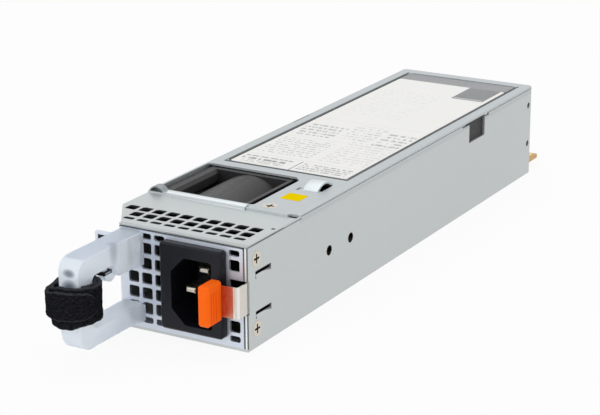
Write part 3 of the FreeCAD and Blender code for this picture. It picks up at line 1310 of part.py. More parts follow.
def make_film():
    """Black insulating film, folded up inside the right wall behind the side window."""
    side_x = f"({INNER_RIGHT} - film_thickness - sheet_gap)"
    front, rear = back("film_front"), f"{REAR} - tray_wall - board_rear_gap"
    length = f"({rear}) - ({front})"
    floor = box("film_floor", (f"{INNER_LEFT} + board_side_gap", front, "tray_wall"),
                (f"{side_x} - ({INNER_LEFT} + board_side_gap) + film_thickness", length, "film_thickness"))
    wall = box("film_wall", (side_x, front, "tray_wall"),
               ("film_thickness", length, f"{COVER_UNDER} - hook_depth - seat_gap - tray_wall"))
    shade = box("film_shade", (side_x, back("side_window_front - 0.5"), f"{COVER_UNDER} - hook_depth - 1"),
                ("film_thickness", "side_window_rear - side_window_front + 1", "hook_depth + 1 - sheet_gap"))
    holes = [rod(f"film_hole_{step}", (across, along, "tray_wall - 1"), "standoff_radius + 0.1", "3")
             for step, (across, along) in enumerate(BOARD_FIXINGS)]
    keep("insulation_film", cut("film_cut", join("film_sheet", [floor, wall, shade]), holes))


# Power stage, all seated on the main board.
def upright_sink(word, across, start, towards):
    """A finned aluminium bar along the case, its fins pointing one way across."""
    if towards > 0:
        base_low, fin_low = across, f"({across}) + sink_base - 0.1"
    else:
        base_low, fin_low = f"({across}) - sink_base", f"({across}) - sink_base - sink_fin_reach + 0.1"
    base = box(f"{word}_plate", (base_low, back(start), BOARD_TOP), ("sink_base", "sink_length", "sink_tall"))
    fins = [box(f"{word}_fin_{step}", (fin_low, back(start),
                                       f"{BOARD_TOP} + 2 + {step} * (sink_tall - 4 - sink_fin) / 4"),
                ("sink_fin_reach", "sink_length", "sink_fin")) for step in range(5)]
    return join(f"{word}_whole", [base] + fins)


def make_power_stage():
    keep("bulk_capacitors", group("bulk_capacitor_set", [
        rod(f"bulk_can_{step}", (BULK_X, back(f"bulk_depth + {step} * bulk_spacing"), BOARD_TOP),
            "bulk_radius", "bulk_tall") for step in range(2)]))

    fins_end = f"({INNER_LEFT} + 5 + sink_base + sink_fin_reach)"
    choke_x = f"(({fins_end} + {BULK_X} - bulk_radius) / 2)"
    ring = rod("choke_ring", (choke_x, back("choke_depth"), BOARD_TOP), "choke_radius + choke_tube",
               "2 * choke_tube")
    eye = rod("choke_eye", (choke_x, back("choke_depth"), f"{BOARD_TOP} - 1"), "choke_radius - choke_tube",
              "2 * choke_tube + 2")
    keep("boost_choke", cut("choke_cut", ring, [eye]))

    keep("primary_heatsink", upright_sink("primary_sink", f"{INNER_LEFT} + 5", "sink_start", 1))
    devices = [box(f"primary_device_{step}", (f"{INNER_LEFT} + 5 - device_thick",
                                              back(f"sink_start + 2 + {step} * 15"), f"{BOARD_TOP} + 1"),
                   ("device_thick", "device_width", "device_tall")) for step in range(3)]
    leg_x = f"{INNER_LEFT} + 5 - device_thick + 1.5"
    legs = [box(f"primary_leg_{step}_{leg}", (leg_x, back(f"sink_start + 5 + {step} * 15 + {leg} * 2.6"),
                                              BOARD_TOP), ("0.8", "0.8", "1.2"))
            for step in range(3) for leg in range(3)]
    keep("power_transistors", group("power_transistor_set", devices + legs))

    front = back("transformer_front")
    left = "(transformer_x - transformer_width / 2)"
    core = box("core_block", (left, front, BOARD_TOP),
               ("transformer_width", "transformer_length", "transformer_tall"))
    middle = ("transformer_x", f"{front} + transformer_length / 2", f"{BOARD_TOP} + core_wall")
    hollow = box("core_window", (f"{left} + core_wall", f"{front} - 1", f"{BOARD_TOP} + core_wall"),
                 ("transformer_width - 2 * core_wall", "transformer_length + 2",
                  "transformer_tall - 2 * core_wall"))
    leg = rod("core_leg", middle, "winding_radius / 2", "transformer_tall - 2 * core_wall")
    keep("transformer_core", join("core_whole", [cut("core_cut", core, [hollow]), leg]))
    outer = box("winding_block", (f"{left} + core_wall", f"{front} - 2", f"{BOARD_TOP} + core_wall"),
                ("transformer_width - 2 * core_wall", "transformer_length + 4",
                 "transformer_tall - 2 * core_wall"))
    eye = rod("winding_eye", (middle[0], middle[1], f"{BOARD_TOP}"), "winding_radius / 2 + 0.02",
              "transformer_tall")
    keep("transformer_winding", cut("winding_cut", outer, [eye]))

    keep("secondary_heatsink", upright_sink("secondary_sink", f"{INNER_RIGHT} - board_side_gap - 3",
                                            "second_sink_start", -1))

    bars = []
    for step in range(2):
        low = f"{TONGUE_LEFT} + 2 + {step} * (bar_length + 8)"
        bars.append(box(f"bus_bar_{step}", (low, back("bar_depth"), BOARD_TOP),
                        ("bar_length", "bar_thickness", "bar_width")))
    keep("bus_bars", group("bus_bar_set", bars))

    tins = [rod(f"output_can_{row}_{column}", (f"{INNER_LEFT} + output_margin + {column} * 11.4",
                                               back(f"output_depth + {row} * 11.4"), BOARD_TOP),
                "output_cap_radius", "output_cap_tall") for row in range(2) for column in range(2)]
    keep("output_capacitors", group("output_capacitor_set", tins))

    card_y = back("card_front")
    card_x = f"({INNER_LEFT} + wall_margin)"
    card = box("card_blank", (card_x, card_y, BOARD_TOP), ("small_board_thickness", "card_length", "card_tall"))
    keep("control_board", card)
    chips = [box(f"chip_{step}", (f"{card_x} + small_board_thickness", f"{card_y} + 6 + {step} * 18",
                                  f"{BOARD_TOP} + 8"), ("1.2", "chip_side", "chip_side")) for step in range(3)]
    keep("control_chips", group("control_chip_set", chips))

    # input filter on the board's narrow arm, beside the fan
    arm_room = f"{ARM_RIGHT} - {ARM_LEFT} - 1.6"
    keep("filter_choke", box("filter_choke_block", (f"{ARM_LEFT} + 1", back("arm_front + 12"), BOARD_TOP),
                             (arm_room, "13", "relay_tall + 4")))
    keep("filter_capacitors", group("filter_capacitor_set", [
        box(f"filter_box_{step}", (f"{ARM_LEFT} + 1", back(f"arm_front + 26 + {step} * 8"), BOARD_TOP),
            (arm_room, "7", "filter_cap_tall + 4")) for step in range(2)]))
    keep("relay", box("relay_block", (card_x, back("relay_depth"), BOARD_TOP), ("12", "17", "relay_tall")))
    keep("bridge_rectifier", box("bridge_block", ("bridge_x", back("bridge_depth"), BOARD_TOP),
                                 ("4", "20", "22")))
    fuse_axis = f"{BOARD_TOP} + fuse_radius + 0.6"
    tube = rod("fuse_tube", ("fuse_x", back("bridge_depth"), fuse_axis), "fuse_radius", "fuse_length", "Y")
    clips = [box(f"fuse_clip_{step}", ("fuse_x - fuse_radius - 0.4",
                                       back(f"bridge_depth + 1 + {step} * (fuse_length - 5)"), BOARD_TOP),
                 ("2 * fuse_radius + 0.8", "3", "fuse_radius + 0.8")) for step in range(2)]
    keep("fuse", join("fuse_whole", [tube] + clips))
    keep("standby_transformer", box("standby_block", ("standby_x", back("standby_depth"), BOARD_TOP),
                                    ("15", "14", "15")))
    keep("resonant_choke", box("resonant_block", ("resonant_x", back("standby_depth + 16"), BOARD_TOP),
                               ("16", "14", "18")))


def check_and_write():
    """Check every object, then write each sub-part's shape to a file of its name."""
    doc.recompute()
    for thing in doc.Objects:
        if "Invalid" in thing.State or "Error" in thing.State:
            raise RuntimeError(f"{thing.Label}: {thing.State}")
    for label, thing in parts.items():
        if thing.Shape.isNull() or not thing.Shape.isValid():
            raise RuntimeError(f"{label} has no valid shape")
    os.makedirs("parts", exist_ok=True)
    for label, thing in parts.items():
        thing.Shape.exportStep(f"parts/{label}.step")


make_tray()
make_nose_cover()
make_top_cover()
make_front_plate()
make_key_pad()
make_handle()
make_strap()
make_clip()
make_inlet()
make_blades()
make_inlet_board()
make_latch()
make_screws()
make_fan_frame()
make_fan_inside()
make_rotor()
make_main_board()
make_board_fixings()
make_contacts()
make_film()
make_power_stage()
check_and_write()
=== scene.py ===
import json
import math

import bmesh
import bpy
from mathutils import Euler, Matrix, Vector, noise


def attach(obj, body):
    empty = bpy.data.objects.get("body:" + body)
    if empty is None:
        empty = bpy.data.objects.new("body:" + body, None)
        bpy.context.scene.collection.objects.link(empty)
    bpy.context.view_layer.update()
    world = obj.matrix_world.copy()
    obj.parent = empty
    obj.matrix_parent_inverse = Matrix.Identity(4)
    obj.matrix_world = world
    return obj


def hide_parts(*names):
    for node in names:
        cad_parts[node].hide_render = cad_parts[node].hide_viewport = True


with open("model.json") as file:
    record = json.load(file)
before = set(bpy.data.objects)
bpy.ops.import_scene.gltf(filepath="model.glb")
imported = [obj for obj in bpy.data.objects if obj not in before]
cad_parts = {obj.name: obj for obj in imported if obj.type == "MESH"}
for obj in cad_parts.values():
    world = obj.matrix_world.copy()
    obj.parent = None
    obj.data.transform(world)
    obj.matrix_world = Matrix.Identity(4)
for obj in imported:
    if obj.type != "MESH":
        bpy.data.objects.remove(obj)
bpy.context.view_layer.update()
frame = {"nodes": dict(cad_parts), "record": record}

# Units and places

# Blender works in metres. The sizes below are millimetres, and a place is given as spot() takes
# it: across from the case's middle, behind the front plate, and up from the case's bottom.
MM = 0.001
FRONT = -119.0           # the front plate's place along the case in the frame
SHIFTS = (0.0, FRONT, 0.0)       # from such a place to the frame's own

nodes = frame["nodes"]
scene = bpy.context.scene


def spot(across, depth, height):
    """A point in metres, from millimetres across, behind the front plate and up."""
    return Vector((across, FRONT + depth, height)) * MM


# Camera, lamps and world
scene.view_settings.view_transform = "Standard"

SENSOR_WIDTH = 36.0
LENS = 115.12
CAMERA_RANGE = (0.05, 20.0)
CAMERA_PLACE = (0.34905, -0.63136, 0.25114)
CAMERA_TURN = (71.699, 0.315, 30.012)

# Each lamp's place, the point that it faces, its size and its power in watts.
LAMPS = {
    "top_softbox": ((-0.3, 0.3, 1.4), (0.0, 0.0, 0.0), (1.6, 1.8), 5.4),
    "front_softbox": ((-0.35, -1.5, 0.4), (0.0, -0.1, 0.02), (1.4, 0.9), 7.4),
    "right_softbox": ((1.6, 0.0, 0.6), (0.0, -0.05, 0.02), (1.4, 0.9), 4.1),
}

WORLD_LIGHT = 0.64       # what the world gives to matt surfaces
WORLD_WHITE = 1.0        # what the camera and reflections see of it


def make_camera():
    """A long lens from the front, the right and a little above, as in the photograph."""
    data = bpy.data.cameras.new("photo_camera")
    data.sensor_width = SENSOR_WIDTH
    data.lens = LENS
    data.clip_start, data.clip_end = CAMERA_RANGE
    camera = bpy.data.objects.new("photo_camera", data)
    camera.location = CAMERA_PLACE
    camera.rotation_euler = Euler([math.radians(turn) for turn in CAMERA_TURN])
    scene.collection.objects.link(camera)
    bpy.context.scene.camera = camera


def make_lamp(name, place, target, size, power):
    """A soft rectangular lamp that faces a point."""
    data = bpy.data.lights.new(name, "AREA")
    data.shape = "RECTANGLE"
    data.size, data.size_y = size
    data.energy = power
    light = bpy.data.objects.new(name, data)
    light.location = place
    light.rotation_euler = (Vector(target) - Vector(place)).to_track_quat("-Z", "Y").to_euler()
    scene.collection.objects.link(light)


def seen(tree):
    """1 for rays from the camera, a reflection or a see-through surface, else 0."""
    rays = tree.nodes.new("ShaderNodeLightPath")
    total = rays.outputs["Is Camera Ray"]
    for name in ("Is Glossy Ray", "Is Transmission Ray"):
        either = tree.nodes.new("ShaderNodeMath")
        either.operation = "MAXIMUM"
        tree.links.new(total, either.inputs[0])
        tree.links.new(rays.outputs[name], either.inputs[1])
        total = either.outputs[0]
    return total


def make_world():
    """An even white world, plain white where it is seen and softer where it only lights."""
    world = bpy.data.worlds.new("studio_world")
    scene.world = world
    world.use_nodes = True
    tree = world.node_tree
    tree.nodes.clear()
    choose = tree.nodes.new("ShaderNodeMixShader")
    tree.links.new(seen(tree), choose.inputs["Fac"])
    for slot, strength in ((1, WORLD_LIGHT), (2, WORLD_WHITE)):
        background = tree.nodes.new("ShaderNodeBackground")
        background.inputs["Color"].default_value = (1.0, 1.0, 1.0, 1.0)
        background.inputs["Strength"].default_value = strength
        tree.links.new(background.outputs[0], choose.inputs[slot])
    output = tree.nodes.new("ShaderNodeOutputWorld")
    tree.links.new(choose.outputs[0], output.inputs["Surface"])


make_camera()
for lamp_name, lamp_values in LAMPS.items():
    make_lamp(lamp_name, *lamp_values)
make_world()


# A builder for node materials
class Finish:
    """A material with one main shader, and the patterns that feed it."""

    def __init__(self, name, coordinates="Object"):
        self.material = bpy.data.materials.new(name)
        self.material.use_nodes = True
        self.nodes = self.material.node_tree.nodes
        self.links = self.material.node_tree.links
        self.nodes.clear()
        self.output = self.nodes.new("ShaderNodeOutputMaterial")
        self.shader = self.nodes.new("ShaderNodeBsdfPrincipled")
        self.links.new(self.shader.outputs[0], self.output.inputs["Surface"])
        self.coordinates = self.nodes.new("ShaderNodeTexCoord").outputs[coordinates]
        self.axes = None

    def set(self, **values):
        """Set what is the same all over the surface."""
        for name, value in values.items():
            self.shader.inputs[name.replace("_", " ")].default_value = value
        return self

    def feed(self, socket, value):
        """Link a pattern to an input, or set the input to a colour or a number."""
        if hasattr(value, "node"):
            self.links.new(value, socket)
        elif isinstance(value, tuple):
            socket.default_value = (*value, 1.0)
        else:
            socket.default_value = value

    def maths(self, operation, *values):
        """A sum, product or the like of patterns and numbers."""
        node = self.nodes.new("ShaderNodeMath")
        node.operation = operation
        for socket, value in zip(node.inputs, values):
            self.feed(socket, value)
        return node.outputs[0]

    def axis(self, letter):
        """The place along one axis."""
        if self.axes is None:
            split = self.nodes.new("ShaderNodeSeparateXYZ")
            self.links.new(self.coordinates, split.inputs[0])
            self.axes = split.outputs
        return self.axes[letter]

    def between(self, value, low, high, soft):
        """1 where a value lies between two bounds, with soft edges."""
        rise = self.nodes.new("ShaderNodeMapRange")
        fall = self.nodes.new("ShaderNodeMapRange")
        for node, edge in ((rise, low), (fall, high)):
            node.interpolation_type = "SMOOTHSTEP"
            self.feed(node.inputs["Value"], value)
            node.inputs["From Min"].default_value = edge - soft
            node.inputs["From Max"].default_value = edge + soft
        return self.maths("SUBTRACT", rise.outputs[0], fall.outputs[0])

    def block(self, low, high, soft):
        """1 inside a box between two places in millimetres, where None is no bound."""
        mask = 1.0
        for letter, first, last, shift in zip("XYZ", low, high, SHIFTS):
            if first is not None:
                side = self.between(self.axis(letter), (first + shift) * MM, (last + shift) * MM, soft * MM)
                mask = self.maths("MULTIPLY", mask, side)
        return mask

    def blob(self, centre, radii):
        """1 in the middle of an ellipsoid and 0 at its edge, in millimetres."""
        total = 0.0
        for letter, middle, radius, shift in zip("XYZ", centre, radii, SHIFTS):
            aside = self.maths("SUBTRACT", self.axis(letter), (middle + shift) * MM)
            share = self.maths("DIVIDE", aside, radius * MM)
            total = self.maths("ADD", total, self.maths("MULTIPLY", share, share))
        return self.spread(total, low=1.0, high=0.0, from_low=0.1, from_high=1.0)

    def noise(self, scale, detail, stretch=(1.0, 1.0, 1.0)):
        """Cloudy noise, drawn out along an axis whose stretch is less than the others'."""
        mapping = self.nodes.new("ShaderNodeMapping")
        mapping.inputs["Scale"].default_value = stretch
        self.links.new(self.coordinates, mapping.inputs["Vector"])
        node = self.nodes.new("ShaderNodeTexNoise")
        node.inputs["Scale"].default_value = scale
        node.inputs["Detail"].default_value = detail
        self.links.new(mapping.outputs[0], node.inputs["Vector"])
        return node.outputs["Fac"]

    def spread(self, value, low, high, from_low=0.3, from_high=0.7):
        """Map a pattern's usual range to the range between two numbers."""
        node = self.nodes.new("ShaderNodeMapRange")
        bounds = {"From Min": from_low, "From Max": from_high, "To Min": low, "To Max": high}
        for name, bound in bounds.items():
            node.inputs[name].default_value = bound
        self.links.new(value, node.inputs["Value"])
        return node.outputs["Result"]

    def mix(self, factor, one, other):
        """A colour between two colours."""
        node = self.nodes.new("ShaderNodeMix")
        node.data_type = "RGBA"
        for socket, value in ((node.inputs[0], factor), (node.inputs[6], one), (node.inputs[7], other)):
            self.feed(socket, value)
        return node.outputs[2]

    def dull(self, mask, **values):
        """Fade some of the shader's values to 0 where a mask is 1."""
        for name, value in values.items():
            left = self.maths("SUBTRACT", value, self.maths("MULTIPLY", mask, value))
            self.feed(self.shader.inputs[name.replace("_", " ")], left)

    def bump(self, height, strength, distance):
        """Raise the surface's look by a pattern, its depth in metres."""
        node = self.nodes.new("ShaderNodeBump")
        node.inputs["Strength"].default_value = strength
        node.inputs["Distance"].default_value = distance
        self.links.new(height, node.inputs["Height"])
        self.links.new(node.outputs[0], self.shader.inputs["Normal"])
        return self

    def colour(self, pattern):
        """Colour the surface by a pattern."""
        self.links.new(pattern, self.shader.inputs["Base Color"])

    def rough(self, pattern):
        """Make the surface more or less matt by a pattern."""
        self.links.new(pattern, self.shader.inputs["Roughness"])


def shade(colour, factor):
    """A colour made darker or lighter."""
    return tuple(min(1.0, channel * factor) for channel in colour)


# Sheet metal
SHEET_METALLIC = 0.75
SHEET_SPECULAR = 0.5
SHEET_ROUGH = (0.39, 0.47)
DARK_MARK = 0.5          # a mark below this tone also loses its gloss

# A lance is a narrow slit in the right wall, with a pressed place beside it.
LANCE_FRONT = 5.3
LANCE_SLOPE = 0.17       # how steeply its shaded wedge runs along the slit
LANCE_WEDGE = 1.9
LANCE_WALL = (30.0, 32.0)
LANCE_DEPTHS = (5.2, 15.5)
LANCE_TALL = 2.42
LANCE_TONE = 0.32
# Two places of painted shade in a lance, in its slit and at its front end: low and high corners with
# heights above its foot, and the tone.
LANCE_SLIT_SHADES = (
    ((30.0, 5.9, 1.0), (31.9, 15.35, 2.45), 0.01),
    ((31.0, 5.3, 0.9), (31.9, 6.4, 2.3), 0.06),
)


def raised(place, height):
    """A place moved up."""
    return (place[0], place[1], place[2] + height)


def zinc_tone(finish, colour):
    """The plated sheet's tone: fine spangle and faint cloudy patches."""
    clouds = finish.noise(scale=22.0, detail=3.0)
    spangle = finish.noise(scale=1300.0, detail=2.0)
    tone = finish.mix(clouds, shade(colour, 0.965), shade(colour, 1.03))
    tone = finish.mix(finish.spread(spangle, low=0.0, high=0.3), tone, shade(colour, 0.9))
    return clouds, spangle, tone


def lance_shade(finish, foot):
    """The shaded wedge under a lance's slit, in the right wall."""
    depth = finish.maths("SUBTRACT", finish.axis("Y"), (FRONT + LANCE_FRONT) * MM)
    sloped = finish.maths("ADD", finish.axis("Z"), finish.maths("MULTIPLY", depth, LANCE_SLOPE))
    wedge = finish.between(sloped, low=(foot + LANCE_WEDGE) * MM, high=1.0, soft=0.25 * MM)
    low = (LANCE_WALL[0], LANCE_DEPTHS[0], foot)
    high = (LANCE_WALL[1], LANCE_DEPTHS[1], foot + LANCE_TALL)
    return finish.maths("MULTIPLY", wedge, finish.block(low, high, soft=0.1))


def plated_sheet(name, colour, marks, lances=()):
    """Plated sheet steel with a satin gloss, darker or lighter inside its marks, most of them painted shade
    and painted highlights, and with painted shade in its lances.
    """
    finish = Finish(name).set(Metallic=SHEET_METALLIC)
    clouds, spangle, tone = zinc_tone(finish, colour)
    shadow = 0.0
    for low, high, factor, soft in marks.values():
        mask = finish.block(low, high, soft)
        tone = finish.mix(mask, tone, shade(colour, factor))
        if factor < DARK_MARK:
            shadow = finish.maths("MAXIMUM", shadow, mask)
    for foot in lances:
        tone = finish.mix(lance_shade(finish, foot), tone, shade(colour, LANCE_TONE))
        for low, high, factor in LANCE_SLIT_SHADES:
            mask = finish.block(raised(low, foot), raised(high, foot), soft=0.12)
            tone = finish.mix(mask, tone, shade(colour, factor))
            shadow = finish.maths("MAXIMUM", shadow, mask)
    finish.colour(tone)
    finish.dull(shadow, Metallic=SHEET_METALLIC, Specular_IOR_Level=SHEET_SPECULAR)
    finish.rough(finish.spread(clouds, *SHEET_ROUGH))
    return finish.bump(spangle, strength=0.08, distance=0.02 * MM).material


# The sheets' marks, most of them painted shade and painted highlights: low corner, high corner, tone as a
# share of the sheet's colour, and soft edge.
# On the tray: painted shadow in the gap behind the front plate, a painted highlight on the front edge and
# painted shade under the cover.
TRAY_MARKS = {
    "painted shadow in the gap behind the front plate": ((30.98, -0.5, 1.0), (31.6, 0.55, 37.3), 0.30, 0.06),
    "painted highlight on the front edge": ((30.0, -0.5, 1.0), (30.93, 0.2, 37.3), 1.45, 0.04),
    "painted shade under the cover": ((31.0, 35.0, 35.9), (31.6, 240.0, 37.6), 0.84, 0.6),
}
# On the nose cover, all painted shade: in the cover's notch, along the seam, in a small pit, on the vents'
# cut faces and on the front fold.
NOSE_MARKS = {
    "shadow in the cover's notch": ((27.6, 33.3, 38.0), (30.9, 34.7, 38.4), 0.03, 0.12),
    "painted shadow along the seam": ((30.95, -1.0, 37.0), (32.0, 24.0, 37.75), 0.45, 0.1),
    "painted shade of a small pit near the edge": ((29.0, 19.2, 38.0), (30.4, 20.6, 38.5), 0.15, 0.25),
    "painted shade on the vents' cut faces": ((-30.5, 2.0, 37.0), (30.5, 31.5, 38.0), 0.08, 0.1),
    "painted shade on the front fold": ((None, -1.0, 37.0), (None, 1.3, 38.5), 0.80, 0.3),
}
# On the top cover: a painted highlight on the bridge and hood, and painted shade on the hood, on the sunk
# field's sides and under the bridge's end.
COVER_MARKS = {
    "painted highlight on the bridge and hood": ((None, None, 39.2), (None, None, 45.0), 1.32, 0.2),
    "painted shade on the hood": ((-31.5, 30.0, 39.1), (-23.6, 37.2, 45.0), 0.60, 0.2),
    "dark line on the left edge": ((-30.5, 137.0, 38.9), (-30.1, 150.0, 39.1), 0.35, 0.1),
    "painted shade on the front side of the sunk field": ((-26.8, 77.7, 38.6), (27.0, 79.1, 39.3), 0.28, 0.2),
    "painted shade on the right side of the sunk field": ((26.1, 77.7, 38.6), (27.0, 233.0, 39.3), 0.30, 0.2),
    "painted shade on the left side of the sunk field": ((-26.8, 78.2, 38.6), (-26.1, 233.0, 39.3), 0.40, 0.2),
    "painted shadow under the bridge's end": ((15.4, 59.6, 38.9), (16.5, 62.6, 39.3), 0.05, 0.25),
}
# On the front plate, all painted shade: in the gaps at its upper and right edges, and on the lip behind its
# upper edge.
PLATE_MARKS = {
    "painted shade in the gap at the upper edge": ((None, None, 36.85), (None, None, 37.4), 0.30, 0.08),
    "painted shade on the lip behind the upper edge": ((None, 0.95, 36.2), (None, 12.0, 37.4), 0.03, 0.08),
    "painted shade in the gap at the right edge": ((29.6, -0.5, 1.0), (30.3, 0.6, 37.3), 0.25, 0.08),
}
TRAY_LANCES = (10.7, 25.2)       # the feet of the two lances


# Moulded plastics, turned metals and boards
def moulded(name, colour, rough, grain=1400.0, depth=0.04, marks=(), **extra):
    """Moulded plastic with a fine spark-eroded texture. A mark is a box, its tone and its soft edge."""
    finish = Finish(name).set(**extra)
    texture = finish.noise(scale=grain, detail=3.0)
    clouds = finish.noise(scale=60.0, detail=2.0)
    tone = finish.mix(clouds, shade(colour, 0.88), shade(colour, 1.14))
    for low, high, factor, soft in marks:
        mask = finish.block(low, high, soft)
        tone = finish.mix(mask, tone, shade(colour, factor))
        finish.dull(mask, Specular_IOR_Level=0.3)
    finish.colour(tone)
    finish.rough(finish.spread(texture, low=rough - 0.05, high=rough + 0.08))
    return finish.bump(texture, strength=0.35, distance=depth * MM).material


def polished(name, colour, rough, dark=(), light_bands=()):
    """Plated or turned metal with fine scratches, with painted shade inside some boxes and painted
    reflections and highlights in others.
    """
    finish = Finish(name).set(Metallic=1.0)
    scratches = finish.noise(scale=1500.0, detail=2.0, stretch=(1.0, 1.0, 0.2))
    tone = finish.mix(scratches, shade(colour, 0.86), shade(colour, 1.08))
    for low, high in dark:
        tone = finish.mix(finish.block(low, high, soft=0.05), tone, shade(colour, 0.10))
    for low, high, band in light_bands:
        tone = finish.mix(finish.block(low, high, soft=0.15), tone, band)
    finish.colour(tone)
    finish.rough(finish.spread(scratches, low=rough - 0.05, high=rough + 0.08))
    return finish.bump(scratches, strength=0.15, distance=0.02 * MM).material


MASK_GREEN = (0.012, 0.075, 0.03)
TRACK_GREEN = (0.03, 0.15, 0.06)
TONGUE_GOLD = (0.62, 0.36, 0.10)
TONGUE = ((None, 238.0, None), (None, 260.0, None))      # where the board stands out behind the case


def circuit_board():
    """Solder mask with faint tracks under it, and a golden tongue."""
    finish = Finish("solder_mask").set(Roughness=0.38)
    tracks = finish.noise(scale=300.0, detail=1.0, stretch=(1.0, 0.25, 1.0))
    line = finish.between(tracks, low=0.47, high=0.57, soft=0.03)
    tone = finish.mix(line, MASK_GREEN, TRACK_GREEN)
    finish.colour(finish.mix(finish.block(*TONGUE, soft=0.1), tone, TONGUE_GOLD))
    return finish.bump(tracks, strength=0.2, distance=0.03 * MM).material


MILKY = ((0.84, 0.89, 0.96), (0.90, 0.94, 0.99))
# A darker tone for the handle's top face, painted shade against the light from above.
MILKY_SHADED_TOP = (0.62, 0.67, 0.75)
MILKY_SHADOW = (0.07, 0.08, 0.11)
# The handle's top face, where that painted shade goes.
HANDLE_SHADED_TOP = ((None, None, 36.2), (None, None, 40.0))
# Soft dark places inside the clear moulding: centre, radii and strength.
HANDLE_SHADOWS = (
    ((-15.4, -36.5, 31.9), (2.8, 3.0, 1.7), 0.85),
    ((-15.3, -36.5, 26.6), (3.6, 3.0, 3.6), 0.95),
    ((-11.0, -15.9, 34.5), (4.0, 2.8, 7.5), 0.35),
)


def frosted_plastic():
    """Frosted clear plastic: a milky body that lets some light through, with a faint painted glow."""
    finish = Finish("frosted_clear_moulding")
    finish.set(Transmission_Weight=0.38, IOR=1.22)
    finish.set(Subsurface_Weight=0.35, Subsurface_Scale=0.003, Subsurface_Radius=(0.9, 1.0, 1.15))
    # A faint painted glow that brightens the milky body.
    finish.set(Emission_Color=(0.72, 0.86, 1.0, 1.0), Emission_Strength=0.05)
    clouds = finish.noise(scale=90.0, detail=3.0)
    texture = finish.noise(scale=1800.0, detail=3.0)
    tone = finish.mix(clouds, *MILKY)
    tone = finish.mix(finish.block(*HANDLE_SHADED_TOP, soft=0.25), tone, MILKY_SHADED_TOP)
    for centre, radii, strength in HANDLE_SHADOWS:
        mask = finish.maths("MULTIPLY", finish.blob(centre, radii), strength)
        tone = finish.mix(mask, tone, MILKY_SHADOW)
    finish.colour(tone)
    finish.rough(finish.spread(texture, low=0.36, high=0.48))
    return finish.bump(texture, strength=0.25, distance=0.04 * MM).material


# The finishes of the record's slots
NICKEL = (0.66, 0.61, 0.52)
ORANGE = (0.93, 0.125, 0.002)
FAN_BLACK = (0.022, 0.022, 0.023)

FINISHES = {
    "black_plastic": moulded("black_moulding", (0.004, 0.0045, 0.0085), 0.42, Specular_IOR_Level=0.25),
    "clear_plastic": frosted_plastic(),
    "strap_weave": moulded("strap_pile", (0.012, 0.012, 0.013), 0.9, grain=900.0, depth=0.3),
    "nickel": polished("nickel_plate", NICKEL, 0.3),
    "board_green": circuit_board(),
    "spring_steel": polished("bright_spring_steel", (0.68, 0.65, 0.60), 0.3),
    # The orange moulding has a faint painted glow that keeps it bright.
    "orange_plastic": moulded("orange_moulding", ORANGE, 0.5, grain=1600.0, depth=0.03,
                              Specular_IOR_Level=0.12, Emission_Color=(*ORANGE, 1.0),
                              Emission_Strength=0.06),
    "lamination": polished("motor_lamination", (0.35, 0.35, 0.36), 0.4),
    "ferrite": moulded("dark_ferrite", (0.05, 0.05, 0.055), 0.55),
    "brass_metal": polished("turned_brass", (0.72, 0.55, 0.25), 0.3),
    "gold_plate": polished("gold_plate", (0.85, 0.58, 0.20), 0.25),
    "black_film": moulded("black_film", (0.03, 0.03, 0.03), 0.5, Specular_IOR_Level=0.25),
    "sleeve_black": moulded("capacitor_sleeve", (0.02, 0.022, 0.035), 0.35),
    "copper_wire": polished("enamelled_copper", (0.55, 0.24, 0.09), 0.35),
    "copper_bar": polished("bare_copper", (0.75, 0.38, 0.22), 0.3),
    "bare_aluminium": polished("extruded_aluminium", (0.78, 0.78, 0.79), 0.35),
    "tape_yellow": moulded("winding_tape", (0.62, 0.45, 0.05), 0.4),
    "capacitor_yellow": moulded("capacitor_box", (0.65, 0.48, 0.06), 0.4),
    "ceramic_white": moulded("fuse_ceramic", (0.75, 0.73, 0.68), 0.3),
}

# The finishes of single nodes, which come before their slot's finish
FAN_SHADOW = ((7.4, None, 25.0), (10.6, None, 38.6), 0.25, 0.5)
CLIP_SHEEN = ((-14.6, -20.6, 26.95), (-11.0, -17.4, 27.5), 70.0, 0.12)
# Painted shade in the screws' cross recesses and in the rivets' bores.
SIDE_RECESS_SHADE = ((20.0, None, None), (30.95, None, None))      # the dark floors of the heads' recesses
COVER_RECESS_SHADE = ((None, None, 30.0), (None, None, 38.7))
# Painted light on the latch spring: a painted reflection of the orange grip, and painted highlights on its
# inner edge and its bend.
SPRING_PAINTED_LIGHTS = {
    "warm reflection of the grip": ((20.0, -6.0, None), (29.1, -5.0, None), (0.55, 0.25, 0.17)),
    "painted highlight on the inner edge": ((29.1, -6.0, None), (29.5, -5.0, None), (0.88, 0.86, 0.84)),
    "painted highlight on the bend": ((30.45, -6.0, None), (31.2, -4.5, None), (0.80, 0.79, 0.78)),
}
FAN_GREY = moulded("fan_moulding", FAN_BLACK, 0.42, Specular_IOR_Level=0.3)

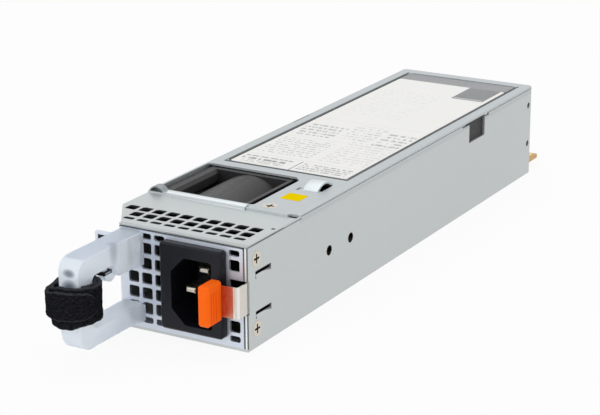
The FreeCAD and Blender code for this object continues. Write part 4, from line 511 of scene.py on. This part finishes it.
SINGLES = {
    "case_tray": plated_sheet("tray_sheet", (0.55, 0.58, 0.58), TRAY_MARKS, TRAY_LANCES),
    "nose_cover": plated_sheet("nose_sheet", (0.525, 0.555, 0.56), NOSE_MARKS),
    "top_cover": plated_sheet("cover_sheet", (0.495, 0.53, 0.545), COVER_MARKS),
    "front_plate": plated_sheet("plate_sheet", (0.64, 0.69, 0.77), PLATE_MARKS),
    "fan_frame": moulded("fan_frame_moulding", FAN_BLACK, 0.42, marks=[FAN_SHADOW], Specular_IOR_Level=0.3),
    "fan_motor_mount": FAN_GREY,
    "fan_rotor": FAN_GREY,
    "strap_clip": moulded("clip_moulding", (0.006, 0.006, 0.007), 0.4, marks=[CLIP_SHEEN]),
    "latch_spring": polished("latch_spring_steel", (0.66, 0.63, 0.58), 0.3, light_bands=SPRING_PAINTED_LIGHTS.values()),
    "side_screws": polished("side_screw_nickel", NICKEL, 0.3, dark=[SIDE_RECESS_SHADE]),
    "cover_screw": polished("cover_screw_nickel", NICKEL, 0.3, dark=[COVER_RECESS_SHADE]),
    "latch_rivets": polished("rivet_nickel", (0.70, 0.69, 0.66), 0.35, dark=[SIDE_RECESS_SHADE]),
}

for row in frame["record"]["subparts"]:
    slots = nodes[row["node"]].data.materials
    slots.clear()
    slots.append(SINGLES.get(row["node"]) or FINISHES[row["material_slot"]])


# Folded and moulded edges

# Each node's rounding and its segments.
EDGES = {
    "case_tray": (0.25, 2),
    "nose_cover": (0.15, 2),
    "top_cover": (0.15, 2),
    "front_plate": (0.15, 2),
    "inlet_housing": (0.4, 3),
    "inlet_blades": (0.2, 2),
    "latch_grip": (0.4, 3),
    "handle": (0.6, 3),
    "strap_clip": (0.2, 2),
    "fan_frame": (0.3, 2),
    "main_board": (0.1, 1),
}
EDGE_ANGLE = 32
WELD_REACH = 0.01


def round_edges(thing, width, segments, angle):
    """Round the edges that turn by more than an angle in degrees."""
    bevel = thing.modifiers.new("edge", "BEVEL")
    bevel.width = width * MM
    bevel.segments = segments
    bevel.limit_method = "ANGLE"
    bevel.angle_limit = math.radians(angle)


for node_name, (edge_width, edge_segments) in EDGES.items():
    weld = nodes[node_name].modifiers.new("weld", "WELD")
    weld.merge_threshold = WELD_REACH * MM
    round_edges(nodes[node_name], edge_width, edge_segments, EDGE_ANGLE)


# What every new piece needs
def solid(name, form, material):
    """Make an object of a bmesh, with one material."""
    mesh = bpy.data.meshes.new(name)
    form.to_mesh(mesh)
    form.free()
    mesh.materials.append(material)
    thing = bpy.data.objects.new(name, mesh)
    scene.collection.objects.link(thing)
    return thing


def piece(name, form, material, body="case"):
    """Make a piece of a bmesh, and let it ride on a body."""
    thing = solid(name, form, material)
    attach(thing, body)
    return thing


# Label and sticker

PRINT_INK = (0.10, 0.11, 0.12)
RULE_INK = (0.12, 0.13, 0.14)
PRINT_SOFT = 0.12
CORNER_SEGMENTS = 4

# Blocks of dashes on the paper: low corner, high corner, row pitch, the row's share of the pitch,
# the dash's length, how few the dashes are, and how strong the ink is.
DASH_BLOCKS = (
    ((-22.0, 81.0), (-4.0, 84.5), 1.7, 0.45, 0.8, 0.46, 0.55),
    ((-23.5, 85.5), (-3.0, 90.0), 4.4, 0.62, 1.3, 0.42, 0.75),
    ((2.0, 81.0), (23.0, 90.0), 2.2, 0.5, 0.9, 0.45, 0.6),
    ((-23.0, 95.0), (0.0, 118.0), 2.6, 0.35, 1.3, 0.46, 0.42),
    ((4.0, 95.0), (24.0, 124.0), 3.0, 0.3, 1.4, 0.48, 0.30),
    ((-24.0, 124.0), (-6.0, 140.0), 3.6, 0.5, 1.2, 0.48, 0.5),
    ((-4.0, 126.0), (10.0, 146.0), 3.2, 0.4, 1.2, 0.50, 0.35),
    ((12.0, 124.0), (24.0, 141.0), 3.8, 0.5, 1.1, 0.47, 0.5),
    ((-22.0, 158.0), (6.0, 204.0), 3.4, 0.22, 1.5, 0.52, 0.16),
)
# Thin rules on the paper: low corner, high corner, and how strong the ink is.
RULES = (
    ((0.2, 79.4), (0.7, 91.5), 0.85),
    ((-25.0, 92.4), (25.0, 92.8), 0.18),
    ((-25.0, 121.0), (25.0, 121.4), 0.16),
    ((-25.0, 149.0), (25.0, 149.4), 0.14),
)

# The flat pieces on the cover: low corner, high corner, and the radius of the rounded corners.
# The first is a dark sheet whose rim round the label is painted shade.
LABEL_EDGE_SHADE = ((-26.1, 79.1, 38.66), (26.1, 232.4, 38.72), 1.9)
LABEL_SHEET = ((-25.15, 79.9, 38.70), (25.15, 221.8, 38.82), 1.0)
LABEL_STRIP = ((-25.3, 221.9, 38.70), (25.3, 231.7, 38.80), 0.6)
LABEL_PATCH = ((8.9, 202.5, 38.80), (23.4, 221.7, 38.86), 0.6)
LABEL_PATCH_EDGE = ((9.8, 203.2, 38.84), (22.6, 204.4, 38.88), 0.2)
STICKER = ((15.6, 48.2, 38.95), (23.4, 55.2, 39.08), 0.5)


def flat_plate(low, high, corner):
    """A flat plate with rounded corners between two places in millimetres."""
    first, last = spot(*low), spot(*high)
    middle, half = (first + last) / 2, (last - first) / 2
    form = bmesh.new()
    bmesh.ops.create_grid(form, x_segments=1, y_segments=1, size=1.0)
    bmesh.ops.scale(form, vec=(half.x, half.y, 1.0), verts=form.verts[:])
    bmesh.ops.translate(form, vec=(middle.x, middle.y, last.z), verts=form.verts[:])
    bmesh.ops.bevel(form, geom=form.verts[:], offset=corner * MM, segments=CORNER_SEGMENTS, profile=0.5,
                    affect="VERTICES", material=-1)
    grown = bmesh.ops.extrude_face_region(form, geom=form.faces[:])["geom"]
    lower = [item for item in grown if isinstance(item, bmesh.types.BMVert)]
    bmesh.ops.translate(form, vec=(0.0, 0.0, first.z - last.z), verts=lower)
    bmesh.ops.recalc_face_normals(form, faces=form.faces[:])
    return form


def flat_block(finish, low, high):
    """1 inside a rectangle, its corners across and behind the front plate."""
    return finish.block((*low, None), (*high, None), PRINT_SOFT)


def dashes(finish, low, high, pitch, share, dash, fewness):
    """Rows of short dashes within a rectangle."""
    rows = finish.maths("DIVIDE", finish.axis("Y"), pitch * MM)
    row = finish.between(finish.maths("FRACT", rows), low=0.5 - share / 2, high=0.5 + share / 2, soft=0.08)
    place = finish.nodes.new("ShaderNodeCombineXYZ")
    finish.feed(place.inputs["X"], finish.maths("DIVIDE", finish.axis("X"), dash * MM))
    finish.feed(place.inputs["Y"], finish.maths("MULTIPLY", finish.maths("FLOOR", rows), 7.31))
    cells = finish.nodes.new("ShaderNodeTexNoise")
    cells.inputs["Scale"].default_value = 1.0
    cells.inputs["Detail"].default_value = 1.0
    finish.links.new(place.outputs[0], cells.inputs["Vector"])
    some = finish.between(cells.outputs["Fac"], low=fewness, high=2.0, soft=0.04)
    return finish.maths("MULTIPLY", finish.maths("MULTIPLY", row, some), flat_block(finish, low, high))


def label_paper():
    """Warm white paper with faint dashes in rows and thin rules."""
    finish = Finish("label_paper").set(Roughness=0.55)
    paper = finish.noise(scale=18.0, detail=2.0)
    tone = finish.mix(paper, (0.88, 0.875, 0.85), (0.93, 0.925, 0.905))
    for *shape, strength in DASH_BLOCKS:
        tone = finish.mix(finish.maths("MULTIPLY", dashes(finish, *shape), strength), tone, PRINT_INK)
    for low, high, strength in RULES:
        tone = finish.mix(finish.maths("MULTIPLY", flat_block(finish, low, high), strength), tone, RULE_INK)
    finish.colour(tone)
    return finish.bump(finish.noise(scale=2200.0, detail=2.0), strength=0.1, distance=0.01 * MM).material


def print_and_shade(name, colour, rough):
    """A flat surface with a fine, shallow grain, for print and for painted shade."""
    return moulded(name, colour, rough, grain=900.0, depth=0.01)


def make_label():
    """The label's plain paper in a dark edge of painted shade, the bare grey strip and the grey patch."""
    piece("label_edge_shade", flat_plate(*LABEL_EDGE_SHADE), print_and_shade("recess_edge_shade", (0.045, 0.05, 0.055), 0.5))
    piece("label_sheet", flat_plate(*LABEL_SHEET), label_paper())
    piece("label_strip", flat_plate(*LABEL_STRIP), print_and_shade("printed_grey", (0.27, 0.275, 0.285), 0.4))
    piece("label_patch", flat_plate(*LABEL_PATCH), print_and_shade("printed_patch", (0.215, 0.22, 0.23), 0.45))
    piece("label_patch_edge", flat_plate(*LABEL_PATCH_EDGE),
          print_and_shade("patch_border", (0.52, 0.53, 0.54), 0.35))


def make_sticker():
    """A small blank yellow sticker beside the fan window."""
    yellow = moulded("sticker_yellow", (0.92, 0.66, 0.0), 0.6, grain=1500.0, depth=0.01,
                     Specular_IOR_Level=0.0)
    piece("blank_sticker", flat_plate(*STICKER), yellow)


# Strap

# The winding is given in degrees round the upright axis of the handle's grip: 0 is the right,
# 90 is towards the case and -90 is the front.
STRAP_AXIS = (-15.9, -32.3)
STRAP_START = -757.0             # the inner end
STRAP_END = -12.0                # the free end
STRAP_THICKNESS = 1.35
STRAP_RIM = 0.35
STRAP_COLUMNS = 300
STRAP_ROWS = 22

INNER_RADIUS = 6.6
TURN_GROWTH = 1.66
FLAT_MIDDLE = 50.0               # where the turns are pressed flatter, over how far and how much
FLAT_SPREAD = 38.0
FLAT_SHARE = 0.12
LOOSE_WAVE = 0.35                # how far the outer turn waves in and out
LOOSE_TURN = 40.0

# The heights of the strap's edges at places round the grip.
STRAP_TOP = ((-90, 28.2), (0, 28.0), (97, 27.5), (180, 26.5), (220, 26.5), (270, 28.2))
STRAP_LOW = ((-90, 14.4), (0, 15.4), (30, 15.8), (97, 15.4), (180, 15.0), (270, 14.4))
OUTER_FROM = -195.0              # the last half turn is narrower
OUTER_EASE = 12.0
OUTER_DROP = 1.3
OUTER_LIFT = 2.6
INNER_TO = -397.0                # the inner turn hangs lower
INNER_EASE = 30.0
INNER_DROP = 0.8
ROUND_SHARE = 0.045              # the share of the length that the free end's rounding takes
ROUND_DEPTH = 0.92
ROUND_POWER = 2.4

# The pile's unevenness: how many waves a metre holds, and how deep they are.
TUFT_GRAIN, TUFT_DEPTH = 700.0, 0.22
WAVE_GRAIN, WAVE_DEPTH = 130.0, 0.25
EDGE_GRAIN, EDGE_DEPTH = 600.0, 0.3
EDGE_SHIFT = Vector((3.0, 1.0, 0.0))


def along(table, value):
    """Smooth interpolation in a table of (place, height)."""
    for (start, low), (end, high) in zip(table, table[1:]):
        if value <= end:
            share = (value - start) / (end - start)
            share = share * share * (3 - 2 * share)
            return low + (high - low) * share
    return table[-1][1]


def strap_radius(angle, turn, share):
    """The winding's radius: a spiral that is flatter on one side and loose towards its free end."""
    radius = INNER_RADIUS + TURN_GROWTH * (angle - STRAP_START) / 360.0
    aside = (turn - FLAT_MIDDLE + 180.0) % 360.0 - 180.0
    radius *= 1.0 - FLAT_SHARE * math.exp(-((aside / FLAT_SPREAD) ** 2))
    return radius + LOOSE_WAVE * math.sin(math.radians(2.0 * turn + LOOSE_TURN)) * share


def strap_edges(angle, turn, share):
    """The heights of the strap's two edges, closer together at its free end."""
    high, low = along(STRAP_TOP, turn), along(STRAP_LOW, turn)
    if angle > OUTER_FROM:
        taper = min(1.0, (angle - OUTER_FROM) / OUTER_EASE)
        high -= OUTER_DROP * taper
        low += OUTER_LIFT * taper
    elif angle < INNER_TO:
        low -= INNER_DROP * min(1.0, (INNER_TO - angle) / INNER_EASE)
    end = max(0.0, (share - 1.0 + ROUND_SHARE) / ROUND_SHARE)
    middle, half = (high + low) / 2.0, (high - low) / 2.0
    half *= math.sqrt(max(0.0, 1.0 - ROUND_DEPTH * end ** ROUND_POWER))
    return middle - half, middle + half


def strap_point(share, up):
    """A point of the wound strap, from the shares along its length and across its width."""
    angle = STRAP_START + (STRAP_END - STRAP_START) * share
    turn = (angle + 90.0) % 360.0 - 90.0
    radius = strap_radius(angle, turn, share)
    low, high = strap_edges(angle, turn, share)
    across = STRAP_AXIS[0] + radius * math.cos(math.radians(angle))
    depth = STRAP_AXIS[1] + radius * math.sin(math.radians(angle))
    return spot(across, depth, low + (high - low) * up)


def pile_lift(place):
    """How far the pile stands out at a place, in millimetres: fine tufts and slow waves."""
    tufts = noise.fractal(place * TUFT_GRAIN, 1.0, 2.0, 3) * TUFT_DEPTH
    return tufts + noise.noise(place * WAVE_GRAIN) * WAVE_DEPTH


def edge_lift(place):
    """How far a place is moved up, in millimetres, which makes the strap's edges uneven."""
    return noise.noise(place * EDGE_GRAIN + EDGE_SHIFT) * EDGE_DEPTH


def strap_pile():
    """Black hook-and-loop pile: a matt fuzz over a ribbed weave, lighter towards its edges."""
    finish = Finish("strap_pile_lighter_edges", "UV").set(Roughness=0.95, Specular_IOR_Level=0.0)
    fuzz = finish.noise(scale=15.0, detail=6.0, stretch=(7.0, 1.0, 1.0))
    loops = finish.noise(scale=70.0, detail=3.0, stretch=(7.0, 1.0, 1.0))
    edge = finish.maths("ABSOLUTE", finish.maths("SUBTRACT", finish.axis("Y"), 0.5))
    lighter_edge = finish.spread(edge, low=0.0, high=0.8, from_low=0.45, from_high=0.5)
    tone = finish.mix(finish.spread(fuzz, low=0.0, high=1.0), (0.002, 0.002, 0.0025), (0.032, 0.033, 0.039))
    tone = finish.mix(finish.spread(loops, low=0.0, high=0.7), tone, (0.008, 0.008, 0.010))
    finish.colour(finish.mix(lighter_edge, tone, (0.055, 0.057, 0.066)))
    height = finish.maths("ADD", fuzz, finish.maths("MULTIPLY", loops, 0.5))
    return finish.bump(height, strength=1.0, distance=0.8 * MM).material


def make_strap():
    """The hook-and-loop strap, wound twice round the handle's grip and pressed on itself."""
    form = bmesh.new()
    form.loops.layers.uv.new("UVMap")
    bmesh.ops.create_grid(form, x_segments=STRAP_COLUMNS, y_segments=STRAP_ROWS, size=0.5, calc_uvs=True)
    axis = spot(*STRAP_AXIS, 0.0)
    for vertex in form.verts:
        place = strap_point(vertex.co.x + 0.5, vertex.co.y + 0.5)
        away = Vector((place.x - axis.x, place.y - axis.y, 0.0)).normalized()
        vertex.co = place + away * pile_lift(place) * MM
        vertex.co.z += edge_lift(place) * MM
    area = sum(face.calc_area() for face in form.faces)
    strap = piece("wound_strap", form, strap_pile())
    for polygon in strap.data.polygons:
        polygon.use_smooth = True
    thick = strap.modifiers.new("thickness", "SOLIDIFY")
    thick.thickness = STRAP_THICKNESS * MM
    thick.offset = 0.0
    round_edges(strap, STRAP_RIM, segments=2, angle=50)
    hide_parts("cable_strap")


make_label()
make_sticker()
make_strap()


# Floor
FLOOR_REACH = 4.0
FLOOR_GLOW = 0.9         # the plain white share of the floor, as the camera sees it


def pale_floor():
    """Pale paper, nearly white where it is seen."""
    finish = Finish("pale_floor").set(Roughness=0.8)
    paper = finish.noise(scale=40.0, detail=2.0)
    finish.colour(finish.mix(paper, (0.88, 0.88, 0.88), (0.91, 0.91, 0.91)))
    glow = finish.nodes.new("ShaderNodeEmission")
    blend = finish.nodes.new("ShaderNodeMixShader")
    share = finish.maths("MULTIPLY", seen(finish.material.node_tree), FLOOR_GLOW)
    finish.links.new(share, blend.inputs["Fac"])
    finish.links.new(finish.shader.outputs[0], blend.inputs[1])
    finish.links.new(glow.outputs[0], blend.inputs[2])
    finish.links.new(blend.outputs[0], finish.output.inputs["Surface"])
    return finish.material


def make_floor():
    """A wide pale floor under the part."""
    form = bmesh.new()
    bmesh.ops.create_grid(form, x_segments=1, y_segments=1, size=FLOOR_REACH)
    floor = solid("studio_floor", form, pale_floor())


make_floor()
